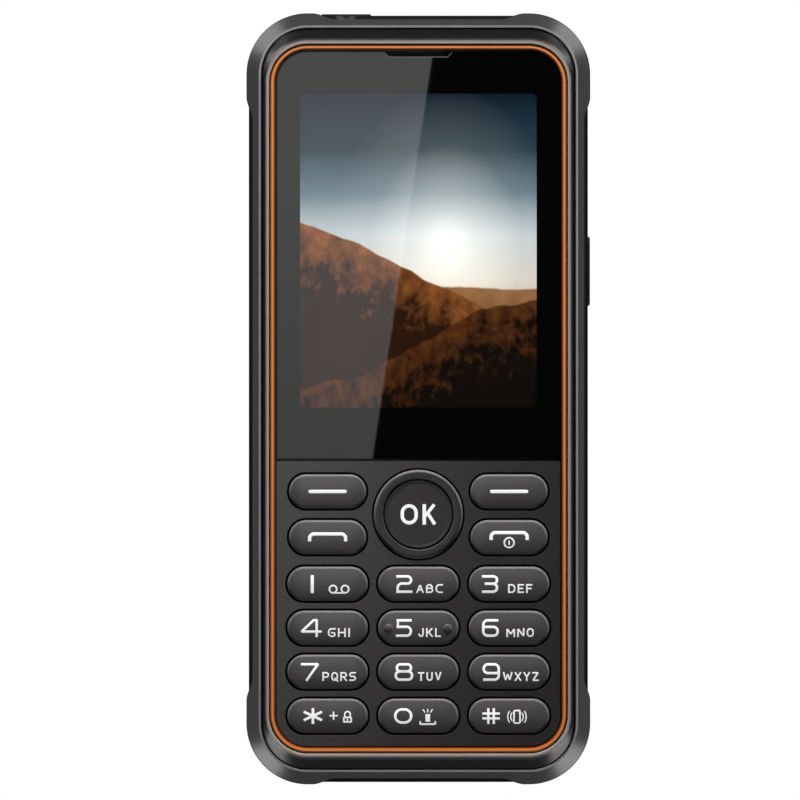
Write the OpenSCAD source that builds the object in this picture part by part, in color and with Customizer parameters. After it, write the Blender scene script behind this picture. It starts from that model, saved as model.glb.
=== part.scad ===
// Rugged feature phone with a screen above a keypad, as an assembly of its separate pieces.
// Every piece is drawn lying on its back: x to the right, y up the phone, z out of the screen.
// stand() then sets it upright on its lower corner bumpers, with the screen facing -Y.

/* [Body] */
// Width across the side walls
body_w = 62.2; // [60.6:0.2:70]
// Height between the end walls
body_h = 140.6; // [139:0.2:156]
// Corner radius of the outer wall
body_r = 10.8; // [10:0.1:12]
// Thickness of the bumper wall
wall = 2.2; // [2:0.1:2.6]
// How far the corner bumpers stand proud of the walls
bump = 0.4; // [0.2:0.05:0.8]
// Reach of a corner bumper along the side, from the end of the phone
bump_side = 15.4; // [14:0.2:22]
// Reach of a corner bumper along the end, from the side of the phone
bump_end = 12.0; // [12:0.2:16]
// Length over which a corner bumper runs out into the wall
bump_taper = 1.1; // [0.6:0.1:2]

/* [Front rim] */
// Width of the flat ridge on top of the bumper wall
ridge_w = 0.5; // [0.3:0.05:0.8]
// Width of the bumper's front chamfer
chamfer_w = 1.1; // [0.8:0.05:1.3]
// Drop from the lip to the ridge
ridge_drop = 1.1; // [0.8:0.05:1.4]
// Width of the bezel's slope along the sides
slope_side = 0.8; // [0.5:0.05:1.2]
// Width of the bezel's slope along the ends
slope_end = 2.3; // [1.6:0.1:3]
// Width of the lip round the coloured ring
lip_w = 0.7; // [0.5:0.05:1]
// Width of the coloured ring
ring_w = 1.2; // [0.9:0.05:1.6]
// Drop from the lip to the crown of the coloured ring
ring_drop = 0.15; // [0.05:0.05:0.3]

/* [Window and screen] */
// Thickness of the window and of the keypad panel
window_t = 1.1; // [0.9:0.05:1.5]
// Drop from the lip to the window
face_drop = 0.6; // [0.4:0.05:0.8]
// Height of the lit screen
screen_h = 57.6; // [50:0.2:62]
// Distance from the side of the window to the lit screen
screen_side = 4.5; // [4.3:0.1:6]
// Distance from the top of the window to the lit screen
screen_top = 7.9; // [7.4:0.1:10]
// Distance from the lit screen down to the keypad panel
screen_foot = 9.65; // [9:0.05:11]
// Thickness of the display module
display_t = 2.5; // [2:0.1:3]
// Width of the earpiece notch in the top edge of the window
notch_w = 12.7; // [9:0.1:16]
// Depth of the earpiece notch
notch_h = 1.0; // [0.8:0.1:1.4]

/* [Keypad] */
// Distance from the side of the panel to the outer number keys
key_side = 2.1; // [1.8:0.05:3]
// Distance from the foot and the head of the panel to the keys
key_margin = 2.55; // [2.4:0.05:3]
// Gap between columns of keys
column_gap = 1.75; // [1.5:0.05:2.5]
// Gap between rows of number keys
row_gap = 1.67; // [1.5:0.01:2.2]
// Gap between the number keys and the call keys
group_gap = 2.14; // [1.8:0.02:3]
// Gap between the call keys and the soft keys
soft_gap = 2.0; // [1.6:0.05:3]
// How far the soft keys stay in from the outer ends of the number keys
soft_in = 0.3; // [0.1:0.05:1]
// Distance from the navigation ring to the soft keys and the call keys
soft_clear = 1.98; // [1.5:0.02:2.5]
// Distance from the navigation ring down to the number keys
nav_clear = 1.34; // [1.2:0.02:2]
// Width of the navigation ring
nav_band = 1.95; // [1.6:0.05:2.4]
// How far the keys stand proud of the keypad panel
key_proud = 0.5; // [0.3:0.05:0.8]
// Radius of the crown across a key
crown_r = 13; // [9:0.5:30]
// Depth of the dish in the centre key
dish = 0.35; // [0.1:0.05:0.5]
// Gap between a key and the edge of its hole
key_gap = 0.25; // [0.2:0.01:0.3]
// Travel of a key
key_travel = 0.3; // [0.2:0.02:0.34]
// Radius of a snap dome
dome_r = 1.9; // [1.5:0.1:2.1]
// Radius of a snap dome under the navigation ring
nav_dome_r = 1.4; // [1:0.05:1.5]
// Height of a snap dome
dome_h = 0.25; // [0.15:0.01:0.35]

/* [Side key and port] */
// Distance from the top wall down to the side key
side_drop = 46.9; // [43:0.1:53]
// Length of the side key
side_l = 12.7; // [9:0.1:16]
// Width of the side key
side_w = 4.0; // [3.4:0.1:4.4]
// How far the side key stands proud of the wall
side_proud = 0.38; // [0.2:0.02:0.6]
// Place of the charging port to the left of the middle
port_x = 13.25; // [12:0.05:14]
// Width of the port cover
lid_w = 9.1; // [9:0.1:11]
// Depth of the port cover, front to back
lid_d = 5.6; // [5.2:0.1:6]
// Thickness of the port cover
lid_t = 1.3; // [1.2:0.05:1.4]
// How far the port cover stands proud of the end wall
lid_proud = 0.28; // [0.2:0.02:0.4]
// Width of the fingernail scoop in front of the port cover
scoop_w = 4.0; // [3:0.1:5]
// Depth of the fingernail scoop
scoop_h = 1.0; // [0.6:0.05:1.2]

/* [Inside and back] */
// Thickness of the main board
board_t = 1.0; // [0.8:0.1:1.2]
// Room for parts behind the main board
parts_room = 2.0; // [1.8:0.1:3]
// Height of the battery
battery_h = 64; // [56:0.5:70]
// Thickness of the battery
battery_t = 5.8; // [5:0.1:7]
// Thickness of the battery cover
cover_t = 1.5; // [1.3:0.1:2]
// Thickness of the back plate
plate_t = 1.8; // [1.6:0.1:2.2]
// Distance from the top wall down to the camera
camera_drop = 21; // [18:0.5:24]
// Height of the loudspeaker above the foot
speaker_y = 17.2; // [17:0.1:18]
// Radius of a housing screw's shank
screw_r = 0.8; // [0.7:0.05:0.9]

/* [Hidden] */
$fn = 96;

// Clearances: a push fit between fixed pieces, and the slack in front of a key's flange
fit = 0.1;
slack = 0.1;

// Levels, from the lip at the front to the back plate
shelf_t = 0.8;
display_gap = 0.1;
bay_t = 0.8;
cover_room = 0.6;
cover_drop = 0.1;
rim_drop = 0.3;
front_t = face_drop + window_t + shelf_t + display_gap + display_t + board_t;
back_t = parts_room + bay_t + fit + battery_t + cover_room + cover_t + cover_drop;
body_t = front_t + back_t;
z_lip = body_t / 2;
z_face = z_lip - face_drop;
z_shelf = z_face - window_t;
z_under = z_shelf - shelf_t;
z_display = z_under - display_gap;
z_board = z_display - display_t;
z_solder = z_board - board_t;
z_bay = z_solder - parts_room;
z_pack = z_bay - bay_t;
z_cell = z_pack - fit;
z_seat = z_cell - battery_t - cover_room;
z_cover = z_seat - cover_t;
z_back = z_cover - cover_drop;
z_plate = z_back + plate_t;
z_rim = z_back + rim_drop;
z_ridge = z_lip - ridge_drop;

// Outlines, from the outer wall inwards, all about the middle of the body
y_mid = bump + body_h / 2;
y_top = bump + body_h;
cavity = [body_w - 2 * wall, body_h - 2 * wall, body_r - wall];
lip = [cavity[0] - 2 * slope_side, cavity[1] - 2 * slope_end, cavity[2] - slope_side];
groove = [lip[0] - 2 * lip_w, lip[1] - 2 * lip_w, lip[2] - lip_w];
face = [groove[0] - 2 * ring_w, groove[1] - 2 * ring_w, groove[2] - ring_w];
shelf_w = 0.85;
opening = [face[0] - 2 * shelf_w, face[1] - 2 * shelf_w, face[2] - shelf_w];
face_top = y_mid + face[1] / 2;
opening_top = y_mid + opening[1] / 2;
face_foot = y_mid - face[1] / 2;
split_gap = 0.25;
bar_h = 2.2;

// Lit screen: it hangs from the top of the window, and the keypad takes the height under it
screen_w = face[0] - 2 * screen_side;
screen_y = face_top - screen_top - screen_h / 2;
split_y = screen_y - screen_h / 2 - screen_foot;

// Keypad: the keys share the width and the height that the gaps leave
key_w = (face[0] - 2 * key_side - 2 * column_gap) / 3;
key_h = (split_y - face_foot - 2 * key_margin - 3 * row_gap - group_gap - soft_gap) / 6;
column_pitch = key_w + column_gap;
row_pitch = key_h + row_gap;
first_row_y = face_foot + key_margin + key_h / 2;
call_y = first_row_y + 3 * row_pitch + key_h + group_gap;
soft_y = call_y + key_h + soft_gap;
nav_y = (call_y + soft_y) / 2;
nav_r = soft_gap / 2 + key_h + group_gap - nav_clear;
ok_r = nav_r - nav_band;

// Soft and call keys: pills that run from beside the navigation ring to near the side of the panel
soft_reach = nav_r + soft_clear + key_h / 2;
soft_inner = sqrt(soft_reach * soft_reach - pow((soft_y - call_y) / 2, 2)) - key_h / 2;
soft_outer = column_pitch + key_w / 2 - soft_in;
soft_w = soft_outer - soft_inner;
soft_x = (soft_outer + soft_inner) / 2;

// Bumper section
chamfer_drop = 1.1;
edge_drop = 1.4;
rear_in = 1.5;
rear_rise = 2.0;
swell = 0.3;
ledge_t = 0.8;
front_ledge = 1.0;
rear_ledge = 2.0;

// Keys: their flanges under the panel, their plungers and the web round them
flange_reach = key_gap + 0.25;
flange_t = 0.5;
web_t = 0.4;
plunger_r = 1.2;
z_flange = z_shelf - slack;
z_keyback = z_flange - flange_t;
z_web = z_keyback - key_travel - 0.05;
z_plunger = z_board + dome_h + key_travel + 0.05;
z_crown = z_face + key_proud;
web_rim = 1.4;
web_inset = 0.2;
web_top = split_y + bar_h / 2;
row_y = [for (i = [0:3]) first_row_y + i * row_pitch];
number_keys = [
  ["key_star", -1, 0], ["key_0", 0, 0], ["key_hash", 1, 0],
  ["key_7", -1, 1], ["key_8", 0, 1], ["key_9", 1, 1],
  ["key_4", -1, 2], ["key_5", 0, 2], ["key_6", 1, 2],
  ["key_1", -1, 3], ["key_2", 0, 3], ["key_3", 1, 3]
];
function key_place(k) = [k[1] * column_pitch, row_y[k[2]]];
soft_keys = [
  ["soft_key_left", -1, soft_y], ["soft_key_right", 1, soft_y],
  ["call_key", -1, call_y], ["end_key", 1, call_y]
];
function soft_place(k) = [k[1] * soft_x, k[2]];
key_places = concat([for (k = number_keys) key_place(k)], [for (k = soft_keys) soft_place(k)]);

// Navigation: the ring rocks on a soft plate, and the centre key slides inside both
ok_gap = 0.2;
ok_flange_w = 0.65;
ok_flange_t = 0.4;
nav_flange_w = 0.2;
nav_flange_t = 0.5;
nav_slack = 0.4;
rock_gap = 0.35;
rocker_t = 0.35;
rocker_w = 2.2;
nub_r = 0.6;
nub_in = 0.85;
nub_gap = 0.2;
ok_drop = 0.3;
web_gap = 0.4;
ring_in = ok_r + ok_gap;
nav_hole = nav_r + key_gap;
nav_flange = nav_hole + nav_flange_w;
z_nav = z_shelf - nav_slack;
z_navback = z_nav - nav_flange_t;
z_rocker = z_navback - rock_gap;
ok_flange = ok_r + ok_flange_w;
z_ok = z_navback - ok_drop;
rocker_in = ok_flange + ok_gap;
rocker_out = rocker_in + rocker_w;
nub_at = rocker_in + nub_in;
nav_web_hole = rocker_out + web_gap;

// Board, display module and what they carry
board_gap = 1.7;
board = [cavity[0] - 2 * board_gap, cavity[1] - 2 * board_gap, cavity[2] - board_gap];
board_top = y_mid + board[1] / 2;
board_foot = y_mid - board[1] / 2;
module_side = 2.1;
module_top = 2.1;
module_foot = 6.4;
display_foot = screen_y - screen_h / 2 - module_foot;
display_head = screen_y + screen_h / 2 + module_top;
boss_r = 2.2;
boss_in = 3.0;
boss_end = 7.9;
boss_pitch = 19.4;
boss_x = cavity[0] / 2 - boss_in;
boss_y = [bump + wall + boss_end, y_top - wall - boss_end - boss_pitch, y_top - wall - boss_end];
pilot_gap = 0.05;
pilot_l = 5;
head_r = 1.75;
head_t = 0.9;
screw_grip = 4.4;
board_pilot_l = 2.6;
board_screw_l = 2.2;
board_head_r = 1.4;
board_head_t = 0.7;
flex_w = 16;
flex_t = 0.2;
flex_plug_w = 12;
flex_plug_t = 0.7;
receiver = [13, 4.4, 1.2];
mic = [3.8, 3, 1.1];

// Side key and switch, on the line of the parts behind the board
side_y = y_top - side_drop;
port_deep = 1.6;
side_z = z_solder - port_deep;
side_flange = 0.7;
side_flange_t = 0.5;
side_nub = 0.35;
touch = 0.05;
wall_in = body_w / 2 - wall;
switch_tip = wall_in - slack - side_flange_t - side_nub - key_travel - touch;
switch = [2.6, 4.8, 2.4];
button_l = 0.6;

// Port and its cover, which turns about the middle of its rounded rear end
port_z = z_solder - port_deep;
lid_top = y_top + lid_proud;
lid_foot = lid_top - lid_t;
lid_gap = 0.15;
lid_rear_gap = 0.3;
hinge_y = lid_top - lid_t / 2;
hinge_z = port_z - lid_d / 2 + lid_t / 2;
socket_w = 8.9;
socket_d = 3.2;
socket_l = 7.3;
socket_wall = 0.3;
plug_h = 0.6;
plug = [7.8, 2.0];
socket_mouth = lid_foot - 0.4;

// Camera, flash and loudspeaker, on the inside of the back plate
camera_y = y_top - camera_drop;
glass_r = 4.0;
glass_t = 0.8;
glass_drop = 0.1;
barrel_r = 2.8;
camera_w = 9.0;
camera_t = 4.0;
flash_x = 9.5;
flash_r = 1.8;
flash_hole = 1.3;
flash_t = 1.2;
led_w = 3.6;
speaker = [16, 11, 3.4];
mesh_t = 0.2;
sound_r = 0.7;
sound_pitch = 2.4;

// Battery bay and cover, midway between the loudspeaker and the camera and as wide as the ledges allow
bay_gap = 0.3;
bay_wall = 1.0;
side_seat = 2.2;
end_seat = 5.0;
seat_wall = 1.0;
ledge_gap = 1.3;
seat_edge = rear_ledge + ledge_gap + seat_wall + fit;
battery_w = cavity[0] - 2 * (seat_edge + side_seat + bay_gap);
battery_y = (speaker_y + speaker[1] / 2 + camera_y - camera_w / 2) / 2;
bay = [battery_w + 2 * bay_gap, battery_h + 2 * bay_gap, 2];
cover = [bay[0] + 2 * side_seat, bay[1] + 2 * end_seat, 4];
seat_t = 1.7;
cover_screw_in = 3.6;
cover_screw_at = [cover[0] / 2 - cover_screw_in, bay[1] / 2 + end_seat / 2];
cover_screw_r = 0.7;
cover_head_r = 1.5;
cover_head_t = 0.8;
seal_w = 0.8;
seal_t = 0.5;
seal_in = 0.9;
rear_seal_in = 1.2;
grip_pitch = 7.5;
grip_w = 1.6;
grip_t = 0.35;
grip_end = 5;

// What stands behind the board: battery pins, card sockets and shield covers
connector = [10, 3, 5.8];
connector_foot = battery_y + bay[1] / 2 + 0.15;
pin_pitch = 3;
pin_r = 0.55;
card_up = 14;
card_gap = 1.2;
card_edge = 1.6;
card_h = 14;
card_w = (bay[0] - 2 * card_edge - 2 * card_gap) / 3;
card_hatch = [bay[0] - card_edge, card_h + 2, 1];
can_gap = 1.7;
can_t = 0.25;
can_lift = 0.4;
can_reach = boss_x - boss_r - can_gap;
can_foot = connector_foot + connector[1] + 0.5;
can_head = camera_y + 0.5;
low_can_w = 32;
low_can_h = 24;
low_can_head = battery_y - card_h / 2 + 1;
cans = [
  [-can_reach, -2, can_foot, can_head], [3, can_reach - 1, can_foot, can_head],
  [-low_can_w / 2, low_can_w / 2, low_can_head - low_can_h, low_can_head]
];
motor_r = 4;
motor_t = 2.7;
motor_at = [-speaker[0] / 2 - motor_r - 3, speaker_y + 3.8];
carrier_h = 5.6;
carrier_t = 3.6;
carrier_gap = 2.2;
carrier_wall = 2.5;
carrier_floor = 1.2;
carrier_w = 2 * (boss_x - boss_r - carrier_gap);
carrier_pocket = [(carrier_w - 4 * carrier_wall) / 3, 3.4];

// Lying model to standing phone
module stand() {
  rotate([90, 0, 0]) children();
}

// A flat outline from one level to another
module slab(z0, z1) {
  translate([0, 0, z0]) linear_extrude(z1 - z0) children();
}

// A rounded rectangle, size given as [width, height, radius]
module rounded(size) {
  square([size[0], size[1] - 2 * size[2]], center = true);
  square([size[0] - 2 * size[2], size[1]], center = true);
  for (sx = [-1, 1], sy = [-1, 1])
    translate([sx * (size[0] / 2 - size[2]), sy * (size[1] / 2 - size[2])]) circle(size[2]);
}

// The same outline drawn in or out by a margin
function inset(size, d) = [size[0] - 2 * d, size[1] - 2 * d, max(size[2] - d, 0.1)];

// A bar with round ends, lying along x
module stadium(w, h) {
  square([w - h, h], center = true);
  for (sx = [-1, 1]) translate([sx * (w - h) / 2, 0]) circle(h / 2);
}

// A section carried round a rounded rectangle; its x is the distance outwards from the outline
module swept(size) {
  straight = [size[0] - 2 * size[2], size[1] - 2 * size[2]];
  for (turn = [0:3]) {
    along = turn % 2 == 0 ? straight[1] : straight[0];
    out = turn % 2 == 0 ? size[0] / 2 : size[1] / 2;
    rotate([0, 0, 90 * turn]) {
      translate([out, along / 2, 0]) rotate([90, 0, 0]) linear_extrude(along) children();
      translate([out - size[2], along / 2, 0])
        rotate_extrude(angle = 90) translate([size[2], 0]) children();
    }
  }
}

// A vertical peg from one level to another
module peg(x, y, z0, z1, r) {
  translate([x, y, z0]) cylinder(h = z1 - z0, r = r);
}

// Section of the bumper wall: ridge, front chamfer, wall, rear chamfer, and the two inner ledges
module bumper_section() {
  polygon([
    [-wall, z_ridge], [-wall + ridge_w, z_ridge],
    [-wall + ridge_w + chamfer_w, z_ridge - chamfer_drop],
    [0, z_ridge - chamfer_drop - edge_drop], [0, z_rim + rear_rise],
    [-rear_in, z_rim], [-wall, z_rim],
    [-wall, z_plate], [-wall - rear_ledge, z_plate],
    [-wall - rear_ledge, z_plate + ledge_t], [-wall, z_plate + ledge_t],
    [-wall, z_under - ledge_t], [-wall - front_ledge, z_under - ledge_t],
    [-wall - front_ledge, z_under], [-wall, z_under]
  ]);
}

// Section of a corner bumper, which swells out of both chamfers and the wall
module corner_section() {
  root = -wall + ridge_w + swell;
  foot = -rear_in + rear_in * swell / rear_rise;
  polygon([
    [root, z_ridge - swell * chamfer_drop / chamfer_w],
    [-wall + ridge_w + chamfer_w + bump, z_ridge - chamfer_drop],
    [bump, z_ridge - chamfer_drop - edge_drop], [bump, z_rim + rear_rise],
    [foot, z_rim + swell], [-wall * 0.8, z_rim + rear_rise / 2],
    [-wall * 0.8, z_ridge - chamfer_drop]
  ]);
}

// The ground that one corner bumper covers, with its ends slanted to run out into the walls
module corner_ground() {
  run = bump_taper / bump;
  deep = 2;
  out = bump + 1;
  translate([body_w / 2 + bump, body_h / 2 + bump])
    polygon([
      [out, out], [out, -bump_side + run * out], [-deep, -bump_side - run * deep],
      [-bump_end - run * deep, -deep], [-bump_end + run * out, out]
    ]);
}

// Overmoulded ring that makes the four walls, the corner bumpers and the screw bosses
module bumper_frame() {
  color([0.16, 0.16, 0.17]) stand() difference() {
    union() {
      translate([0, y_mid, 0]) {
        swept([body_w, body_h, body_r]) bumper_section();
        for (sx = [0, 1], sy = [0, 1]) mirror([sx, 0, 0]) mirror([0, sy, 0])
          intersection() {
            swept([body_w, body_h, body_r]) corner_section();
            slab(z_back, z_lip) corner_ground();
          }
      }
      for (sx = [-1, 1], y = boss_y) {
        peg(sx * boss_x, y, z_plate, z_solder, boss_r);
        translate([sx * (boss_x + wall_in + wall / 2) / 2, y, (z_plate + z_solder) / 2])
          cube([wall_in + wall / 2 - boss_x, boss_r, z_solder - z_plate], center = true);
      }
    }
    for (sx = [-1, 1], y = boss_y) peg(sx * boss_x, y, z_plate - 1, z_plate + pilot_l, screw_r + pilot_gap);
    for (sx = [-1, 1], i = [1, 2])
      peg(sx * boss_x, boss_y[i], z_solder - board_pilot_l, z_solder + 1, screw_r + pilot_gap);
    side_slot();
    port_well();
    translate([0, -1, side_z]) rotate([-90, 0, 0]) cylinder(h = bump + wall + 2, r = 0.5);
  }
}

// Slot through the right wall for the side key
module side_slot() {
  translate([wall_in - 1, side_y, side_z]) rotate([90, 0, 90])
    linear_extrude(wall + 2) stadium(side_l + 2 * key_gap, side_w + 2 * key_gap);
}

// Recess for the port cover, the way through to the socket, and the fingernail scoop
module port_well() {
  rear = hinge_z - lid_t / 2 - lid_rear_gap;
  front = port_z + lid_d / 2 + lid_gap;
  well_w = lid_w + 2 * lid_gap;
  translate([-port_x - well_w / 2, lid_foot - fit, rear]) cube([well_w, lid_t + 2, front - rear]);
  translate([-port_x, y_top - wall - 1, port_z]) rotate([-90, 0, 0])
    linear_extrude(wall + 1) stadium(socket_w + 2 * lid_gap, socket_d + 2 * lid_gap);
  scoop_r = (scoop_w * scoop_w / 4 + scoop_h * scoop_h) / (2 * scoop_h);
  peg(-port_x, y_top - scoop_h + scoop_r, front - lid_gap, z_lip, scoop_r);
}

// Front shell: sloped rim and lip, the seat of the coloured ring, and the shelf under the window
module front_bezel() {
  foot = inset(cavity, fit);
  color([0.09, 0.09, 0.1]) stand() difference() {
    translate([0, y_mid, 0]) {
      hull() {
        slab(z_under, z_ridge - fit) rounded(foot, $fn = 64);
        slab(z_lip - 0.25, z_lip - 0.2) rounded(lip, $fn = 64);
        slab(z_lip - 0.05, z_lip) rounded(inset(lip, 0.25), $fn = 64);
      }
    }
    translate([0, y_mid, 0]) {
      slab(z_shelf + 0.4, z_lip + 1) rounded(groove);
      slab(z_shelf, z_lip + 1) rounded(face);
    }
    translate([0, y_mid, 0]) slab(z_under - 1, z_lip + 1) intersection() {
      rounded(opening);
      translate([0, split_y + bar_h / 2 + body_h / 2 - y_mid]) square([body_w, body_h], center = true);
    }
    translate([0, y_mid, 0]) slab(z_under - 1, z_lip + 1) intersection() {
      rounded(opening);
      translate([0, split_y - bar_h / 2 - body_h / 2 - y_mid]) square([body_w, body_h], center = true);
    }
    translate([0, opening_top, 0]) slab(z_under - 1, z_lip)
      square([notch_w - 3, 2 * (shelf_w - fit)], center = true);
  }
}

// Coloured ring between the lip and the window: a bead with a round crown
module accent_ring() {
  bead_r = ring_w * 0.62;
  color([0.78, 0.42, 0.16]) stand() translate([0, y_mid, 0]) swept(inset(groove, fit / 2))
    intersection() {
      translate([-ring_w + fit / 2, z_shelf + 0.4])
        square([ring_w - fit / 2, z_lip - ring_drop - z_shelf - 0.4]);
      translate([-ring_w / 2, z_lip - ring_drop - bead_r]) union() {
        circle(bead_r);
        translate([-ring_w, -3]) square([2 * ring_w, 3]);
      }
    }
}

// Outline shared by the window and the keypad panel
module face_outline() {
  translate([0, y_mid]) rounded(inset(face, fit));
}

// Front glass, with the earpiece notch in its top edge
module display_window() {
  color([0.05, 0.05, 0.06]) stand() slab(z_shelf, z_face) difference() {
    intersection() {
      face_outline();
      translate([-body_w / 2, split_y + split_gap / 2]) square([body_w, body_h]);
    }
    notch(0);
  }
}

// The earpiece notch, drawn in by a margin
module notch(d) {
  slant = 0.95;
  translate([0, face_top])
    polygon([
      [-notch_w / 2 + d, -d], [-notch_w / 2 + slant + d, -notch_h - fit + d],
      [notch_w / 2 - slant - d, -notch_h - fit + d], [notch_w / 2 - d, -d],
      [notch_w / 2 - d, fit], [-notch_w / 2 + d, fit]
    ]);
}

// Fine grille that fills the earpiece notch
module earpiece_mesh() {
  color([0.2, 0.2, 0.2]) stand() slab(z_shelf, z_shelf + 0.5) intersection() {
    notch(fit);
    translate([-body_w / 2, 0]) square([body_w, face_top - fit]);
  }
}

// Front plate of the keypad, with a hole for every key
module keypad_panel() {
  hole = 2 * key_gap;
  color([0.22, 0.21, 0.21]) stand() slab(z_shelf, z_face) difference() {
    intersection() {
      face_outline();
      translate([-body_w / 2, split_y - split_gap / 2 - body_h]) square([body_w, body_h]);
    }
    for (k = number_keys) translate(key_place(k)) stadium(key_w + hole, key_h + hole);
    for (k = soft_keys) translate(soft_place(k)) stadium(soft_w + hole, key_h + hole);
    translate([0, nav_y]) circle(nav_hole);
  }
}

// Half section of a key from its middle to its side: crowned cap, with a small round at the edge
module cap_section(h) {
  edge_r = 0.35;
  drop = crown_r - sqrt(crown_r * crown_r - h * h / 4);
  intersection() {
    translate([-h / 2, z_flange]) square([h, z_crown - z_flange]);
    translate([0, z_crown - crown_r]) circle(crown_r);
    union() {
      translate([-h / 2, z_flange - 1]) square([h, z_crown - drop - edge_r - z_flange + 1]);
      translate([-h / 2 + edge_r, z_flange - 1]) square([h - 2 * edge_r, z_crown - z_flange + 2]);
      for (sx = [-1, 1]) translate([sx * (h / 2 - edge_r), z_crown - drop - edge_r]) circle(edge_r);
    }
  }
}

// A pill-shaped key: crowned cap, flange under the panel, and plunger over its dome
module pill_key(place, w, h) {
  along = w - h;
  stand() translate([place[0], place[1], 0]) {
    translate([-along / 2, 0, 0]) rotate([90, 0, 90]) linear_extrude(along) cap_section(h);
    for (turn = [0, 180]) rotate([0, 0, turn]) translate([along / 2, 0, 0])
      rotate([0, 0, -90]) rotate_extrude(angle = 180) intersection() {
        cap_section(h);
        translate([0, z_keyback - 1]) square([h, z_crown - z_keyback + 2]);
      }
    slab(z_keyback, z_flange) stadium(w + 2 * flange_reach, h + 2 * flange_reach);
    peg(0, 0, z_plunger, z_keyback, plunger_r);
  }
}

// Number keys, soft keys and call keys are the same pill at two widths
module number_key(k) {
  color([0.3, 0.29, 0.29]) pill_key(key_place(k), key_w, key_h);
}

module soft_key(k) {
  color([0.3, 0.29, 0.29]) pill_key(soft_place(k), soft_w, key_h);
}

// Ring round the centre key, with the two plungers at its sides
module nav_ring() {
  mid = (ring_in + nav_r) / 2;
  round_r = 2;
  color([0.26, 0.25, 0.25]) stand() translate([0, nav_y, 0]) {
    rotate_extrude() union() {
      intersection() {
        translate([ring_in, z_navback]) square([nav_r - ring_in, z_crown - z_navback]);
        translate([mid, z_crown - round_r]) union() {
          circle(round_r);
          translate([-round_r, -2 * round_r]) square([2 * round_r, 2 * round_r]);
        }
      }
      translate([ring_in, z_navback]) square([nav_flange - ring_in, z_nav - z_navback]);
    }
    for (sx = [-1, 1]) peg(sx * nub_at, 0, z_plunger, z_navback, nub_r);
  }
}

// Soft plate under the ring, with the two plungers at its top and bottom
module nav_rocker_plate() {
  color([0.55, 0.55, 0.53]) stand() translate([0, nav_y, 0]) {
    slab(z_rocker - rocker_t, z_rocker) difference() {
      circle(rocker_out);
      circle(rocker_in);
      for (sx = [-1, 1]) translate([sx * nub_at, 0]) circle(nub_r + nub_gap);
    }
    for (sy = [-1, 1]) peg(0, sy * nub_at, z_plunger, z_rocker - rocker_t, nub_r);
  }
}

// Centre key with a dished face, a flange behind the ring, and a plunger
module ok_key() {
  rim = 0.3;
  reach = ok_r - rim;
  dish_r = (reach * reach + dish * dish) / (2 * dish);
  z_rim_ok = z_crown - 0.15;
  color([0.28, 0.27, 0.27]) stand() translate([0, nav_y, 0]) {
    rotate_extrude() difference() {
      translate([0, z_ok]) square([ok_r, z_rim_ok - z_ok]);
      translate([0, z_rim_ok - dish + dish_r]) circle(dish_r, $fn = 720);
    }
    peg(0, 0, z_ok - ok_flange_t, z_ok, ok_flange);
    peg(0, 0, z_plunger, z_ok - ok_flange_t, plunger_r);
  }
}

// Silicone web behind the keys: a sheet with clear holes, and a rim held between bezel and board
module keypad_web() {
  top = web_top;
  foot = y_mid - face[1] / 2 + web_inset;
  size = [face[0] - 2 * web_inset, top - foot, face[2] - web_inset];
  color([0.6, 0.6, 0.58]) stand() {
    slab(z_web - web_t, z_web) difference() {
      translate([0, (top + foot) / 2]) rounded(size);
      for (p = key_places) translate(p) circle(plunger_r + 0.3);
      translate([0, nav_y]) circle(nav_web_hole);
    }
    slab(z_board, z_under) translate([0, (top + foot) / 2]) difference() {
      rounded(size);
      rounded(inset(size, web_rim));
    }
  }
}

// Snap domes on the front of the board, one under every plunger
module key_domes() {
  color([0.8, 0.75, 0.6]) stand() {
    for (p = concat(key_places, [[0, nav_y]])) translate(p) snap_dome(dome_r);
    for (a = [0:3]) translate([nub_at * cos(90 * a), nav_y + nub_at * sin(90 * a)]) snap_dome(nav_dome_r);
  }
}

// A shallow cap of a ball on the front of the board
module snap_dome(r) {
  ball_r = (r * r + dome_h * dome_h) / (2 * dome_h);
  translate([0, 0, z_board]) rotate_extrude() intersection() {
    translate([0, dome_h - ball_r]) circle(ball_r, $fn = 720);
    square([r, dome_h]);
  }
}

// Display module: a tray with its glass set in the front
module display_module() {
  w = screen_w + 2 * module_side;
  h = display_head - display_foot;
  glass_y = screen_y - 1;
  color([0.7, 0.71, 0.72]) stand() {
    slab(z_board, z_display - 0.3) translate([0, display_foot + h / 2]) rounded([w, h, 0.8]);
    slab(z_display - 0.3, z_display) translate([0, glass_y])
      square([screen_w + 2, screen_h + 4], center = true);
  }
}

// Foam frame between the display and the window
module display_cushion() {
  edge = 0.5;
  width = 1.3;
  color([0.1, 0.1, 0.1]) stand() slab(z_display, z_shelf) translate([0, screen_y]) difference() {
    rounded([screen_w + 2 * (edge + width), screen_h + 2 * (edge + width), 1.2]);
    rounded([screen_w + 2 * edge, screen_h + 2 * edge, 0.6]);
  }
}

// Ribbon from the foot of the display to its connector on the board
module display_flex() {
  tail = web_top + 0.2;
  color([0.72, 0.45, 0.12]) stand() {
    slab(z_board, z_board + flex_t) translate([-flex_w / 2, tail]) square([flex_w, display_foot - tail]);
    slab(z_board + flex_t, z_board + flex_t + flex_plug_t) translate([-flex_plug_w / 2, tail])
      square([flex_plug_w, (display_foot - tail) * 0.7]);
  }
}

// Receiver behind the earpiece notch
module earpiece_receiver() {
  foot = display_head + 0.5;
  color([0.12, 0.12, 0.13]) stand() {
    slab(z_board, z_display - 0.3) translate([0, foot + receiver[1] / 2]) rounded(receiver);
    slab(z_display - 0.3, z_display) translate([0, foot + receiver[1] / 2]) difference() {
      rounded(inset(receiver, 0.5));
      for (i = [-2:2]) translate([i * 1.8, 0]) stadium(1.2, 0.6);
    }
  }
}

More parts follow.
